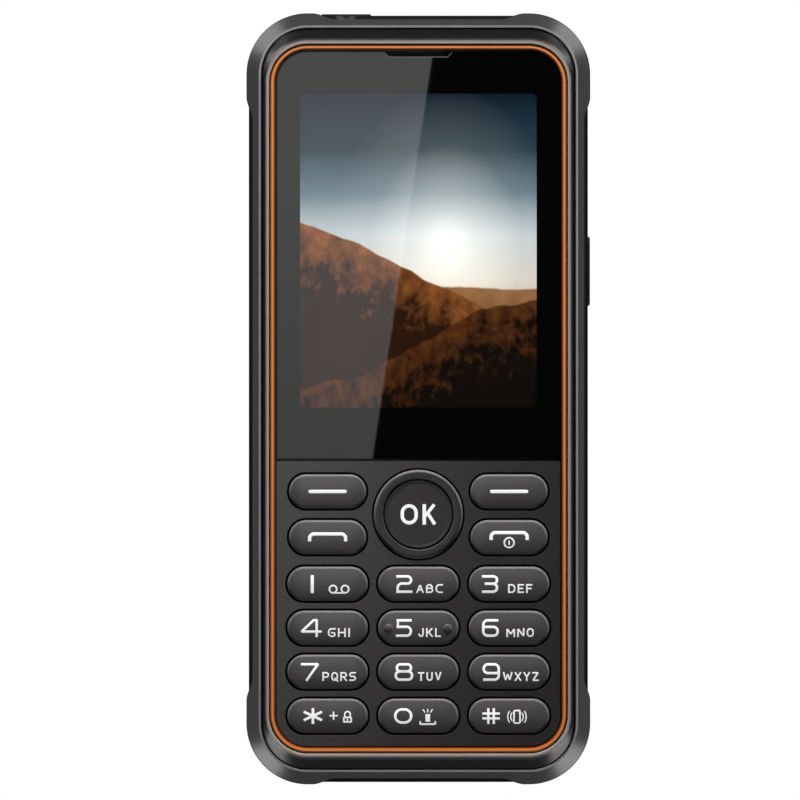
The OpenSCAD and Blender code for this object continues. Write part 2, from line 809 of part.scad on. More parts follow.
// Main board, with holes for its screws
module main_board() {
  color([0.05, 0.3, 0.15]) stand() slab(z_solder, z_board) difference() {
    translate([0, y_mid]) rounded(board);
    for (sx = [-1, 1], i = [1, 2]) translate([sx * boss_x, boss_y[i]]) circle(screw_r + fit);
  }
}

// Pan-headed screws that hold the board to the bosses from the front
module board_screws() {
  color([0.7, 0.7, 0.72]) stand() for (sx = [-1, 1], i = [1, 2]) {
    peg(sx * boss_x, boss_y[i], z_board, z_board + board_head_t, board_head_r);
    peg(sx * boss_x, boss_y[i], z_solder - board_screw_l, z_board, screw_r);
  }
}

// Folded covers over the radio and the processor, open towards the board
module shield_cans() {
  color([0.75, 0.76, 0.77]) stand()
    for (c = cans) translate([(c[0] + c[1]) / 2, (c[2] + c[3]) / 2, 0]) {
      can = [c[1] - c[0], c[3] - c[2], 0.8];
      difference() {
        slab(z_bay + can_lift, z_solder) rounded(can);
        slab(z_bay + can_lift + can_t, z_solder + 1) rounded(inset(can, can_t));
      }
    }
}

// Charging socket: a rounded shell with a tongue, on the back of the board
module usb_socket() {
  foot = socket_mouth - socket_l;
  color([0.75, 0.75, 0.76]) stand() translate([-port_x, foot, port_z]) rotate([-90, 0, 0]) {
    difference() {
      linear_extrude(socket_l) stadium(socket_w, socket_d);
      translate([0, 0, 1.1]) linear_extrude(socket_l)
        stadium(socket_w - 2 * socket_wall, socket_d - 2 * socket_wall);
    }
    translate([-3.3, -0.35, 1]) cube([6.6, 0.7, 4.6]);
  }
}

// Side key: a rounded bar through the wall, a flange inside it, and a nub
module side_key() {
  flange_at = wall_in - slack - side_flange_t;
  color([0.1, 0.1, 0.1]) stand() translate([0, side_y, side_z]) rotate([90, 0, 90]) {
    translate([0, 0, flange_at + side_flange_t])
      linear_extrude(body_w / 2 + side_proud - flange_at - side_flange_t - 0.2) stadium(side_l, side_w);
    translate([0, 0, body_w / 2 + side_proud - 0.2]) linear_extrude(0.2)
      stadium(side_l - 0.5, side_w - 0.5);
    translate([0, 0, flange_at]) linear_extrude(side_flange_t)
      stadium(side_l + 2 * side_flange, side_w + 2 * side_flange);
    translate([0, 0, flange_at - side_nub]) cylinder(h = side_nub, r = 0.8);
  }
}

// Side switch on the back of the board, with its button towards the key
module side_switch() {
  color([0.2, 0.2, 0.21]) stand() {
    translate([switch_tip - button_l - switch[0], side_y - switch[1] / 2, z_solder - switch[2]])
      cube(switch);
    translate([switch_tip - button_l, side_y, side_z]) rotate([0, 90, 0]) cylinder(h = button_l, r = 0.7);
  }
}

// Microphone by the hole in the foot of the frame
module microphone() {
  color([0.78, 0.72, 0.5]) stand() translate([-mic[0] / 2, board_foot + 0.3, z_solder - mic[2]]) cube(mic);
}

// Coin motor on the back of the board
module vibration_motor() {
  color([0.7, 0.7, 0.72]) stand() translate(motor_at) {
    peg(0, 0, z_solder - motor_t, z_solder, motor_r);
    slab(z_solder - 0.4, z_solder) translate([motor_r + 0.4, 0]) square([3, 2.4], center = true);
  }
}

// Two card sockets and a memory card socket, reached through the floor of the battery bay
module card_sockets() {
  slot_w = card_w - 1.6;
  color([0.72, 0.72, 0.74]) stand() for (i = [-1:1])
    translate([i * (card_w + card_gap), battery_y + card_up, 0]) difference() {
      slab(z_bay + 0.5, z_solder) rounded([card_w, card_h, 0.6]);
      slab(z_bay + 0.85, z_bay + 1.45) translate([0, -2]) square([slot_w, card_h - 1], center = true);
      slab(z_bay, z_bay + 1) translate([0, -card_h / 2 + 2]) circle(2.2);
    }
}

// Block of sprung pins at the head of the battery
module battery_connector() {
  color([0.12, 0.12, 0.13]) stand() {
    translate([-connector[0] / 2, connector_foot, z_solder - connector[2]]) cube(connector);
    for (i = [-1:1]) translate([i * pin_pitch, connector_foot + 0.5, z_cell - 1.6])
      rotate([90, 0, 0]) cylinder(h = 0.85, r = pin_r);
  }
}

// Removable battery with rounded long edges and corners
module battery() {
  edge = battery_t / 2 - 0.4;
  color([0.16, 0.17, 0.2]) stand() intersection() {
    translate([0, battery_y + battery_h / 2, z_cell - battery_t / 2]) rotate([90, 0, 0])
      linear_extrude(battery_h) rounded([battery_w, battery_t, edge]);
    slab(z_cell - battery_t - 1, z_cell + 1) translate([0, battery_y])
      rounded(inset(bay, bay_gap));
  }
}

// Back shell: plate, battery bay with its floor, seat of the cover, and the holes for what looks out
module rear_housing() {
  plate = inset(cavity, fit);
  color([0.11, 0.11, 0.12]) stand() difference() {
    union() {
      slab(z_back, z_plate) translate([0, y_mid]) rounded(plate);
      slab(z_back, z_seat + seat_t) translate([0, battery_y]) rounded(inset(cover, -fit - seat_wall));
      slab(z_seat, z_bay) translate([0, battery_y]) rounded(inset(bay, -bay_wall));
    }
    slab(z_back - 1, z_seat) translate([0, battery_y]) rounded(inset(cover, -fit));
    slab(z_back - 1, z_pack) translate([0, battery_y]) rounded(bay);
    slab(z_pack - 1, z_bay + 1) translate([0, battery_y + card_up]) rounded(card_hatch);
    translate([-connector[0] / 2 - bay_gap, battery_y + bay[1] / 2 - 1, z_solder - connector[2] - bay_gap])
      cube([connector[0] + 2 * bay_gap, bay_wall + 2, connector[2] + parts_room]);
    for (sx = [-1, 1], sy = [-1, 1])
      peg(sx * cover_screw_at[0], battery_y + sy * cover_screw_at[1], z_back, z_seat + seat_t + 1,
        cover_screw_r + pilot_gap);
    for (sx = [-1, 1], y = boss_y) {
      peg(sx * boss_x, y, z_back - 1, z_plate + 1, screw_r + fit);
      peg(sx * boss_x, y, z_back - 1, z_back + head_t + fit, head_r + fit);
    }
    translate([0, y_mid, 0]) swept(inset(cavity, rear_seal_in)) rear_groove();
    peg(0, camera_y, z_back - 1, z_plate + 1, barrel_r + fit);
    peg(0, camera_y, z_back - 1, z_back + glass_drop + glass_t, glass_r + fit);
    peg(flash_x, camera_y, z_back - 1, z_plate + 1, flash_hole);
    peg(flash_x, camera_y, z_back - 1, z_back + glass_drop + flash_t, flash_r + fit);
    for (i = [-2:2], j = [-1:1])
      peg(i * sound_pitch, speaker_y + j * sound_pitch, z_back - 1, z_plate + 1, sound_r);
  }
}

// Square section of a seal, from its foot up
module seal_section(foot) {
  translate([-seal_w / 2, foot]) square([seal_w, seal_t]);
}

// Groove for the rear seal, open towards the ledge
module rear_groove() {
  translate([-seal_w / 2 - fit / 2, z_plate - seal_t - fit / 2])
    square([seal_w + fit, seal_t + fit]);
}

// Seal between the back plate and the rear ledge of the frame
module rear_seal() {
  color([0.05, 0.05, 0.05]) stand() translate([0, y_mid, 0])
    swept(inset(cavity, rear_seal_in)) seal_section(z_plate - seal_t);
}

// Screws through the back plate into the bosses
module housing_screws() {
  color([0.45, 0.45, 0.47]) stand() for (sx = [-1, 1], y = boss_y) difference() {
    union() {
      peg(sx * boss_x, y, z_back + fit, z_back + head_t + fit, head_r);
      peg(sx * boss_x, y, z_back + head_t + fit, z_plate + screw_grip, screw_r);
    }
    translate([sx * boss_x, y, z_back]) cylinder(h = 0.6, r = 0.85, $fn = 6);
  }
}

// Loudspeaker over the sound holes of the back plate
module loudspeaker() {
  color([0.14, 0.14, 0.15]) stand() translate([0, speaker_y, z_plate + mesh_t]) difference() {
    slab(0, speaker[2]) rounded([speaker[0], speaker[1], 1.5]);
    slab(-1, 0.8) rounded([speaker[0] - 2, speaker[1] - 2, 1]);
  }
}

// Dust mesh between the loudspeaker and the sound holes
module speaker_mesh() {
  color([0.3, 0.3, 0.3]) stand() slab(z_plate, z_plate + mesh_t) translate([0, speaker_y])
    rounded([speaker[0], speaker[1], 1.5]);
}

// Camera with its barrel in the back plate
module camera_module() {
  color([0.08, 0.08, 0.08]) stand() translate([0, camera_y, 0]) {
    slab(z_plate, z_plate + camera_t) rounded([camera_w, camera_w, 0.8]);
    difference() {
      peg(0, 0, z_back + glass_drop + glass_t + fit, z_plate, barrel_r);
      translate([0, 0, z_back]) cylinder(h = glass_drop + glass_t + fit + 0.4, r1 = 2.6, r2 = 1.2);
    }
  }
}

// Round cover glass of the camera
module camera_window() {
  color([0.04, 0.04, 0.05]) stand()
    peg(0, camera_y, z_back + glass_drop, z_back + glass_drop + glass_t, glass_r);
}

// Lamp on the inside of the back plate
module flash_led() {
  color([0.9, 0.85, 0.4]) stand() translate([flash_x, camera_y, 0])
    slab(z_plate, z_plate + 1.2) square([led_w, led_w], center = true);
}

// Clear lens of the lamp
module flash_lens() {
  color([0.92, 0.92, 0.88]) stand()
    peg(flash_x, camera_y, z_back + glass_drop, z_back + glass_drop + flash_t, flash_r);
}

// Moulded carrier of the antenna, across the foot of the back plate
module antenna_carrier() {
  foot = bump + wall + rear_ledge + 0.4;
  color([0.75, 0.6, 0.35]) stand() difference() {
    slab(z_plate, z_plate + carrier_t) translate([0, foot + carrier_h / 2])
      rounded([carrier_w, carrier_h, 1.6]);
    for (i = [-1:1]) slab(z_plate + carrier_floor, z_plate + carrier_t + 1)
      translate([i * (carrier_pocket[0] + carrier_wall), foot + carrier_h / 2])
        square(carrier_pocket, center = true);
  }
}

// Battery cover with moulded grip grooves, a seal groove on the inside and four screw holes
module battery_cover() {
  color([0.13, 0.13, 0.14]) stand() translate([0, battery_y, 0]) difference() {
    slab(z_cover, z_seat) rounded(cover);
    for (sx = [-1, 1], sy = [-1, 1]) translate([sx * cover_screw_at[0], sy * cover_screw_at[1], 0]) {
      peg(0, 0, z_cover - 1, z_seat + 1, cover_screw_r + fit);
      peg(0, 0, z_cover - 1, z_cover + cover_head_t + fit, cover_head_r + fit);
    }
    swept(inset(bay, -seal_in)) cover_groove();
    for (i = [-3:3]) slab(z_cover - 1, z_cover + grip_t) translate([0, grip_pitch * i])
      stadium(cover[0] - 2 * grip_end, grip_w);
  }
}

// Groove for the cover's gasket, open towards the seat
module cover_groove() {
  translate([-seal_w / 2 - fit / 2, z_seat - seal_t - fit / 2])
    square([seal_w + fit, seal_t + fit]);
}

// Gasket of the battery cover
module cover_gasket() {
  color([0.5, 0.2, 0.08]) stand() translate([0, battery_y, 0])
    swept(inset(bay, -seal_in)) seal_section(z_seat - seal_t);
}

// Captive screws of the battery cover
module cover_screws() {
  color([0.5, 0.5, 0.52]) stand() for (sx = [-1, 1], sy = [-1, 1])
    translate([sx * cover_screw_at[0], battery_y + sy * cover_screw_at[1], 0]) difference() {
      union() {
        peg(0, 0, z_cover + fit, z_cover + cover_head_t + fit, cover_head_r);
        peg(0, 0, z_cover + cover_head_t + fit, z_seat + seat_t - 0.3, cover_screw_r);
      }
      translate([0, 0, z_cover]) cylinder(h = 0.5, r = 0.75, $fn = 6);
    }
}

// Rubber cover of the charging port: lid with a round rear end, and a plug for the socket
module port_cover() {
  color([0.06, 0.06, 0.06]) stand() translate([-port_x, 0, 0]) {
    translate([-lid_w / 2, lid_foot, hinge_z]) cube([lid_w, lid_t, port_z + lid_d / 2 - hinge_z]);
    translate([-lid_w / 2, hinge_y, hinge_z]) rotate([0, 90, 0]) cylinder(h = lid_w, r = lid_t / 2);
    translate([0, lid_foot - plug_h, port_z]) rotate([-90, 0, 0]) linear_extrude(plug_h)
      stadium(plug[0], plug[1]);
  }
}

bumper_frame();
front_bezel();
accent_ring();
display_window();
keypad_panel();
earpiece_mesh();
keypad_web();
key_domes();
display_module();
display_cushion();
display_flex();
earpiece_receiver();
main_board();
shield_cans();
usb_socket();
side_switch();
microphone();
vibration_motor();
card_sockets();
battery_connector();
board_screws();
rear_housing();
rear_seal();
housing_screws();
loudspeaker();
speaker_mesh();
camera_module();
camera_window();
flash_led();
flash_lens();
antenna_carrier();
battery();
battery_cover();
cover_gasket();
cover_screws();
for (k = number_keys) number_key(k);
for (k = soft_keys) soft_key(k);
nav_ring();
nav_rocker_plate();
ok_key();
side_key();
port_cover();
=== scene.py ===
"""Looks of a rugged feature phone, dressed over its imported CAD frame.

X runs to the right, Y away from the viewer and Z up. Lengths are written in millimetres, and `deep` is
the depth of a point behind the middle of the phone: a face that looks at the viewer has a negative Y.
"""
import math

import bmesh
import bpy
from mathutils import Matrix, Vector


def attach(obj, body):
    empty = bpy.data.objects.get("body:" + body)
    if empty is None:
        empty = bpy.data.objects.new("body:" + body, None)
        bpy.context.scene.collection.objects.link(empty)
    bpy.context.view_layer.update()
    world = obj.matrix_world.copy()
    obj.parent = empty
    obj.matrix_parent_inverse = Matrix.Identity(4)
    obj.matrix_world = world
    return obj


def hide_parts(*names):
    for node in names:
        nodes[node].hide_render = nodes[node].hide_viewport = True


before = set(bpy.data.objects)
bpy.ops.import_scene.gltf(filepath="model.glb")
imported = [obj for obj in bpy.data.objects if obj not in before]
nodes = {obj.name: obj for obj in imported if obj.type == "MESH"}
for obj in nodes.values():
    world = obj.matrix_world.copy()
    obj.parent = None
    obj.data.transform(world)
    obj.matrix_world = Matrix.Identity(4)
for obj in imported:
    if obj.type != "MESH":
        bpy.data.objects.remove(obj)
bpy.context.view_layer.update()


# Bumper ring: the walls and corner bumpers are one overmoulding of dark rubbery plastic.
# Its section runs round the phone, swells at the corners, and is cut for the key, flap and microphone.
MM = 0.001
MID_Z = 70.7
# Width, height and corner radius of the wall line, then where each swell starts and where it is full
WALL = (62.2, 140.6, 10.8)
SWELL_SIDE = (54.2, 55.3)
SWELL_END = (18.6, 19.9)
SLOW_SIDE = (51.4, 55.3)
SLOW_END = (15.2, 19.5)


def outline(width, height, radius, side_stops=(), end_stops=(), turn=20):
    """Points (x, z) with outward normals round an upright rounded rectangle about the phone's middle."""
    half = (height / 2 - radius, width / 2 - radius)
    points = []
    for quarter in range(4):
        face = math.radians(90 * quarter)
        normal = Vector((math.cos(face), math.sin(face)))
        along = Vector((-normal.y, normal.x))
        run = half[quarter % 2]
        out = half[(quarter + 1) % 2]
        stops = (side_stops, end_stops)[quarter % 2]
        for stop in sorted([-s for s in stops] + list(stops)):
            spot = normal * (out + radius) + along * stop
            points.append((spot.x, spot.y + MID_Z, normal.x, normal.y))
        corner = normal * out + along * run
        for step in range(turn + 1):
            angle = face + math.radians(90 * step / turn)
            ray = Vector((math.cos(angle), math.sin(angle)))
            spot = corner + ray * radius
            points.append((spot.x, spot.y + MID_Z, ray.x, ray.y))
    return points


def soften(corners, steps=4):
    """A closed section whose corners are rounded by their third value; the runs between stay flat."""
    made = []
    for i, corner in enumerate(corners):
        here = Vector(corner[:2])
        cut = corner[2]
        if cut == 0:
            made.append((here.x, here.y, *corner[3:]))
            continue
        back = (Vector(corners[i - 1][:2]) - here).normalized()
        on = (Vector(corners[(i + 1) % len(corners)][:2]) - here).normalized()
        spots = [here + back * cut * 1.2]
        for step in range(steps + 1):
            t = step / steps
            spots.append(here + back * cut * (1 - t) ** 2 + on * cut * t * t)
        spots.append(here + on * cut * 1.2)
        made += [(spot.x, spot.y, *corner[3:]) for spot in spots]
    return made


def add_to_scene(name, data):
    """A mesh, lamp or camera as a thing in the scene."""
    thing = bpy.data.objects.new(name, data)
    bpy.context.scene.collection.objects.link(thing)
    return thing


def put_values(mesh, label, values):
    """A value on each point of a mesh, under a label."""
    mesh.attributes.new(label, "FLOAT", "POINT").data.foreach_set("value", values)


def mesh_piece(name, points, faces, marks=None, sharp=35, fills=None):
    """A piece from points in mm, smooth but for its sharp edges, with a value on each point if given."""
    mesh = bpy.data.meshes.new(name)
    mesh.from_pydata([Vector(p) * MM for p in points], [], faces)
    if fills is not None:
        mesh.polygons.foreach_set("material_index", fills)
    if marks is not None:
        put_values(mesh, "edge", marks)
    work = bmesh.new()
    work.from_mesh(mesh)
    bmesh.ops.remove_doubles(work, verts=work.verts, dist=1e-7)
    bmesh.ops.recalc_face_normals(work, faces=work.faces)
    work.to_mesh(mesh)
    work.free()
    shade(mesh, sharp)
    return add_to_scene(name, mesh)


def shade(mesh, sharp=35):
    """Smooth shading that breaks at edges sharper than the angle."""
    mesh.polygons.foreach_set("use_smooth", [True] * len(mesh.polygons))
    mesh.set_sharp_from_angle(angle=math.radians(sharp))
    mesh.update()


def loft(name, rings, marks=None, capped=False, sharp=35, fills=None):
    """A skin over rings of equally many points, joined last to first or else capped at both ends.

    Marks give each ring's edge value, and fills the number of the finish after each ring.
    """
    count = len(rings[0])
    points = [p for ring in rings for p in ring]
    faces = []
    for i in range(len(rings) - int(capped)):
        low = i * count
        high = (i + 1) % len(rings) * count
        for j in range(count):
            k = (j + 1) % count
            faces.append((low + j, low + k, high + k, high + j))
    if capped:
        faces.append(tuple(range(count)))
        faces.append(tuple(range(len(points) - count, len(points))))
    values = None if marks is None else [m for m in marks for _ in range(count)]
    face_fills = None if fills is None else [f for f in fills for _ in range(count)] + [0, 0] * capped
    return mesh_piece(name, points, faces, values, sharp, face_fills)


def ease(value, low, high):
    """A smooth step from 0 at the low limit to 1 at the high one."""
    t = min(max((value - low) / (high - low), 0), 1)
    return t * t * (3 - 2 * t)


def baked(piece):
    """The piece with its modifiers worked into the mesh."""
    bpy.context.view_layer.update()
    shaped = bpy.data.meshes.new_from_object(piece.evaluated_get(bpy.context.evaluated_depsgraph_get()))
    piece.modifiers.clear()
    picks = [p.material_index for p in shaped.polygons]
    shaped.materials.clear()
    shaped.polygons.foreach_set("material_index", picks)
    old = piece.data
    piece.data = shaped
    shaped.name = piece.name
    bpy.data.meshes.remove(old)
    return piece


def pill(x, z, width, height, grow=0.0, turn=24):
    """Points (x, z) round a bar with round ends."""
    reach = (width - height) / 2
    radius = height / 2 + grow
    points = []
    for side in (1, -1):
        for step in range(turn + 1):
            angle = math.radians(-90 + 180 * step / turn)
            aside = reach + radius * math.cos(angle)
            points.append((x + side * aside, z + side * radius * math.sin(angle)))
    return points


def front_pill(deep, x, z, width, height, grow=0.0, turn=24):
    """A pill that faces the viewer, at a depth."""
    return [(a, deep, b) for a, b in pill(x, z, width, height, grow, turn)]


OPENING_Y = -0.8
SIDE_KEY_Z = 94.1


def side_pill(x, width, height, grow=0.0, turn=24):
    """An upright pill that faces the side, about the side key's middle."""
    return [(x, OPENING_Y + b, SIDE_KEY_Z + a) for a, b in pill(0, 0, width, height, grow, turn)]


def top_pill(z, x, width, height, grow=0.0, turn=24):
    """A pill that faces up or down."""
    return [(a, OPENING_Y + b, z) for a, b in pill(x, 0, width, height, grow, turn)]


side_stops = [12, 24, 36, 46, 49.5] + [51.4 + 0.2 * i for i in range(21)] + [57.4]
end_stops = [6, 11] + [15.0 + 0.2 * i for i in range(24)]
wall_line = outline(*WALL, side_stops, end_stops, turn=28)
swell = []
slow_swell = []
for x, z, nx, nz in wall_line:
    dz = abs(z - MID_Z)
    swell.append(ease(dz, *SWELL_SIDE) * ease(abs(x), *SWELL_END))
    slow_swell.append(ease(dz, *SLOW_SIDE) * ease(abs(x), *SLOW_END))

# Each corner: distance out from the wall line, depth, rounding, swell outwards, swell backwards, 1 where
# the swell starts slowly, and 1 where black rubber follows it
wall_corners = [
    (-2.2, -7.4, 0.05, 0, 0, 0, 0), (-1.84, -7.4, 0.08, 0, 0, 0, 0), (-0.6, -6.3, 0.08, 1.0, 1.0, 1, 1),
    (0, -4.9, 0.5, 0.4, 0, 0, 1), (0, 6.2, 0.6, 0.4, 0, 0, 1), (-1.5, 8.2, 0.35, 0.15, 0, 0, 0),
    (-2.2, 8.2, 0, 0, 0, 0, 0), (-2.2, 6.7, 0, 0, 0, 0, 0), (-4.2, 6.7, 0, 0, 0, 0, 0),
    (-4.2, 5.9, 0, 0, 0, 0, 0), (-2.2, 5.9, 0, 0, 0, 0, 0), (-2.2, -5.2, 0, 0, 0, 0, 0),
    (-3.2, -5.2, 0, 0, 0, 0, 0), (-3.2, -6.0, 0, 0, 0, 0, 0), (-2.2, -6.0, 0, 0, 0, 0, 0),
]
wall_rings = []
wall_fills = []
for out, deep, bulge, inward, slow, black in soften(wall_corners):
    ring = []
    for (x, z, nx, nz), quick_w, slow_w in zip(wall_line, swell, slow_swell):
        weight = slow_w if slow else quick_w
        reach = out + bulge * weight
        ring.append((x + nx * reach, deep + inward * weight, z + nz * reach))
    wall_rings.append(ring)
    wall_fills.append(black)
bumper = loft("bumper_ring", wall_rings, fills=wall_fills)


def cutter(rings, fill):
    """A solid to cut with, and the number of the finish that its cut faces take."""
    tool = loft("cutter", rings, capped=True)
    tool.data.polygons.foreach_set("material_index", [fill] * len(tool.data.polygons))
    return tool


def cut(piece, tools):
    """Takes each tool's shape out of the piece; the cut faces keep the tool's finish number."""
    for thing in [piece] + tools:
        for _ in range(3):
            thing.data.materials.append(None)
    for tool in tools:
        hole = piece.modifiers.new("hole", "BOOLEAN")
        hole.object = tool
        hole.solver = "EXACT"
    baked(piece)
    for tool in tools:
        bpy.data.objects.remove(tool)
    shade(piece.data)


PORT_X = -13.25
key_slot = [side_pill(x, 13.2, 4.5) for x in (27.9, 33)]
flap_well = [[(PORT_X + sx * 4.7, y, z) for sx, y in ((-1, -3.75), (1, -3.75), (1, 2.3), (-1, 2.3))]
             for z in (139.88, 143)]
socket_way = [top_pill(z, PORT_X, 9.2, 3.5) for z in (137.5, 140.5)]
# The nail scoop is cut by a ball
SCOOP_RADIUS = 2.1
SCOOP_Y = -5.6
SCOOP_Z = 141.63
nail_scoop = []
for step in range(29):
    angle = math.radians(2 + 176 * step / 28)
    wide = 2 * SCOOP_RADIUS * math.sin(angle)
    deep = SCOOP_Y - SCOOP_RADIUS * math.cos(angle)
    nail_scoop.append(front_pill(deep, PORT_X, SCOOP_Z, wide, wide, turn=40))
mouth_hole = [top_pill(z, 0, 1, 1, turn=12) for z in (-1, 5)]
openings = [cutter(rings, 1) for rings in (key_slot, flap_well, socket_way, mouth_hole)]
cut(bumper, openings + [cutter(nail_scoop, 2)])

# Tubes inside the wall that take the screws of the board and of the back
BOSS_X = 25.9
BOSS_Z = (10.5, 111.5, 130.9)
boss_section = ((0.85, 6.7), (2.2, 6.7), (2.2, -2.4), (0.85, -2.4))
boss_skins = []
for x in (-BOSS_X, BOSS_X):
    for z in BOSS_Z:
        rings = [front_pill(deep, x, z, 2 * radius, 2 * radius, turn=16) for radius, deep in boss_section]
        boss_skins.append(loft("boss", rings))


def join(piece, others):
    """One mesh from the piece and the others."""
    work = bmesh.new()
    for part in [piece] + others:
        work.from_mesh(part.data)
    work.to_mesh(piece.data)
    work.free()
    for part in others:
        bpy.data.objects.remove(part)
    shade(piece.data)


join(bumper, boss_skins)
# The front ridge takes a painted highlight, most at the foot and least at the top
ridge = []
for vertex in bumper.data.vertices:
    high = vertex.co.z / MM
    share = 0.62 + 0.38 * ease(-high, -8, -2.5) - 0.15 * ease(high, 133, 138.9)
    ridge.append(share if vertex.co.y < -7.35 * MM else 0.0)
put_values(bumper.data, "edge", ridge)


def group(name, inputs, outputs):
    """An empty shader group with named sockets."""
    tree = bpy.data.node_groups.new(name, "ShaderNodeTree")
    for label, kind, value in inputs:
        socket = tree.interface.new_socket(label, in_out="INPUT", socket_type=kind)
        socket.default_value = value
    for label, kind in outputs:
        tree.interface.new_socket(label, in_out="OUTPUT", socket_type=kind)
    return tree, tree.nodes.new("NodeGroupInput"), tree.nodes.new("NodeGroupOutput")


def node(tree, kind, links=(), **settings):
    """A node with its settings, and its inputs linked or set by socket name or number."""
    made = tree.nodes.new(kind)
    for label, value in settings.items():
        setattr(made, label, value)
    for socket, source in links:
        if isinstance(source, bpy.types.NodeSocket):
            tree.links.new(source, made.inputs[socket])
        else:
            made.inputs[socket].default_value = source
    return made


def place_on(tree):
    """The place of a point on its piece."""
    return node(tree, "ShaderNodeTexCoord").outputs["Object"]


def sums(tree, kind, *terms):
    """One step of arithmetic on up to three terms."""
    return node(tree, "ShaderNodeMath", list(enumerate(terms)), operation=kind).outputs[0]


def blend(tree, share, first, second, kind="MIX"):
    """Two colours mixed by a share."""
    links = [("Factor", share), ("A", first), ("B", second)]
    return node(tree, "ShaderNodeMix", links, data_type="RGBA", blend_type=kind).outputs["Result"]


def noise(tree, place, scale, detail=2.0, rough=0.5):
    """Cloudy noise over a place."""
    links = [("Vector", place), ("Scale", scale), ("Detail", detail), ("Roughness", rough)]
    return node(tree, "ShaderNodeTexNoise", links).outputs["Fac"]


def carried(tree, value, start=(0.0, 1.0), end=(0.0, 1.0), kind="LINEAR"):
    """A value carried over from one range to another."""
    links = [("Value", value), ("From Min", start[0]), ("From Max", start[1]), ("To Min", end[0]),
             ("To Max", end[1])]
    return node(tree, "ShaderNodeMapRange", links, interpolation_type=kind).outputs[0]


def moulded_grain():
    """Fine grain of a spark-eroded mould: a height, and a slow and a fine mask, from place alone."""
    tree, start, end = group("moulded_grain", [("Scale", "NodeSocketFloat", 6000.0)],
                             [("Height", "NodeSocketFloat"), ("Fine", "NodeSocketFloat"),
                              ("Slow", "NodeSocketFloat")])
    place = place_on(tree)
    pits = node(tree, "ShaderNodeTexVoronoi", [("Vector", place), ("Scale", start.outputs["Scale"])])
    fine = noise(tree, place, start.outputs["Scale"], 3.0)
    tree.links.new(sums(tree, "ADD", pits.outputs["Distance"], fine), end.inputs["Height"])
    tree.links.new(fine, end.inputs["Fine"])
    tree.links.new(noise(tree, place, 55.0, 5.0), end.inputs["Slow"])
    return tree


def edge_highlight():
    """Where an edge that was marked on the mesh takes a painted highlight, broken up by scuffs."""
    tree, start, end = group("edge_highlight", [("Scuff", "NodeSocketFloat", 0.3)],
                             [("Mask", "NodeSocketFloat")])
    marked = node(tree, "ShaderNodeAttribute", attribute_name="edge")
    drop = sums(tree, "MULTIPLY", noise(tree, place_on(tree), 260.0, 6.0), start.outputs["Scuff"])
    mask = node(tree, "ShaderNodeMath", [(0, marked.outputs["Fac"]), (1, drop)], operation="SUBTRACT",
                use_clamp=True)
    tree.links.new(mask.outputs[0], end.inputs["Mask"])
    return tree


GRAIN = moulded_grain()
EDGE_HIGHLIGHT = edge_highlight()


def tint(colour, gain):
    """A colour made darker or lighter."""
    return (*(min(c * gain, 1) for c in colour), 1)


def bare_finish(name, levels=()):
    """A new finish with its tree and its shader, whose inputs are set to the levels given."""
    made = bpy.data.materials.new(name)
    made.use_nodes = True
    shader = made.node_tree.nodes["Principled BSDF"]
    for label, level in levels:
        shader.inputs[label].default_value = level
    return made, made.node_tree, shader


def lay(tree, shader, tone, uneven, rough, relief):
    """Puts a colour, a gloss and a height on a shader.

    Uneven is what shifts the gloss between two levels of rough, and relief is height, strength and depth.
    """
    height, strength, depth = relief
    bump = node(tree, "ShaderNodeBump", [("Height", height), ("Strength", strength), ("Distance", depth)])
    tree.links.new(tone, shader.inputs["Base Color"])
    tree.links.new(carried(tree, uneven, end=rough), shader.inputs["Roughness"])
    tree.links.new(bump.outputs[0], shader.inputs["Normal"])


def moulding(name, colour, rough, scale=5200.0, pits=0.00002, vary=0.18, highlight_colour=None, scuff=0.3, specular=0.5,
             uneven=0.06):
    """A moulded finish: slow shifts of tone, grain in height and gloss, and a painted highlight on marked
    edges.
    """
    made, tree, shader = bare_finish(name, [("Specular IOR Level", specular)])
    grain = node(tree, "ShaderNodeGroup", [("Scale", scale)], node_tree=GRAIN).outputs
    tone = blend(tree, grain["Slow"], tint(colour, 1 - vary), tint(colour, 1 + vary))
    if highlight_colour is not None:
        highlight_mask = node(tree, "ShaderNodeGroup", [("Scuff", scuff)], node_tree=EDGE_HIGHLIGHT)
        tone = blend(tree, highlight_mask.outputs["Mask"], tone, (*highlight_colour, 1))
    lay(tree, shader, tone, grain["Fine"], (rough - uneven, rough + uneven), (grain["Height"], 0.35, pits))
    return made


def dress(piece, finishes, body, replaced=()):
    """Finishes, body and replaced CAD nodes of a piece."""
    picks = [p.material_index for p in piece.data.polygons]
    piece.data.materials.clear()
    for finish in finishes if isinstance(finishes, list) else [finishes]:
        piece.data.materials.append(finish)
    last = len(piece.data.materials) - 1
    piece.data.polygons.foreach_set("material_index", [min(p, last) for p in picks])
    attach(piece, body)
    if replaced:
        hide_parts(*replaced)


# The pale grey on the front ridge is a painted highlight
frame_grey = moulding("bumper_grey", (0.006, 0.006, 0.0062), 0.3, pits=0.000008, highlight_colour=(0.36, 0.36, 0.36),
                      scuff=0.15, specular=0.45)
wall_black = moulding("bumper_black", (0.0025, 0.0025, 0.0026), 0.42, scale=2600.0, specular=0.15)
bowl_grey = moulding("bumper_bowl", (0.013, 0.013, 0.013), 0.55, pits=0.000008, specular=0.15)
dress(bumper, [frame_grey, wall_black, bowl_grey], "phone", ["bumper_frame"])


# Front bezel: a moulded shell set inside the bumper, screwed from behind, with a pale painted lip whose
# brightness is partly a painted highlight.
# It slopes up to the lip, seats the coloured ring in a step, and carries the window on a shelf.
SHELF = -6.8
RING_SEAT = (54.8, 130.2, 7.1)
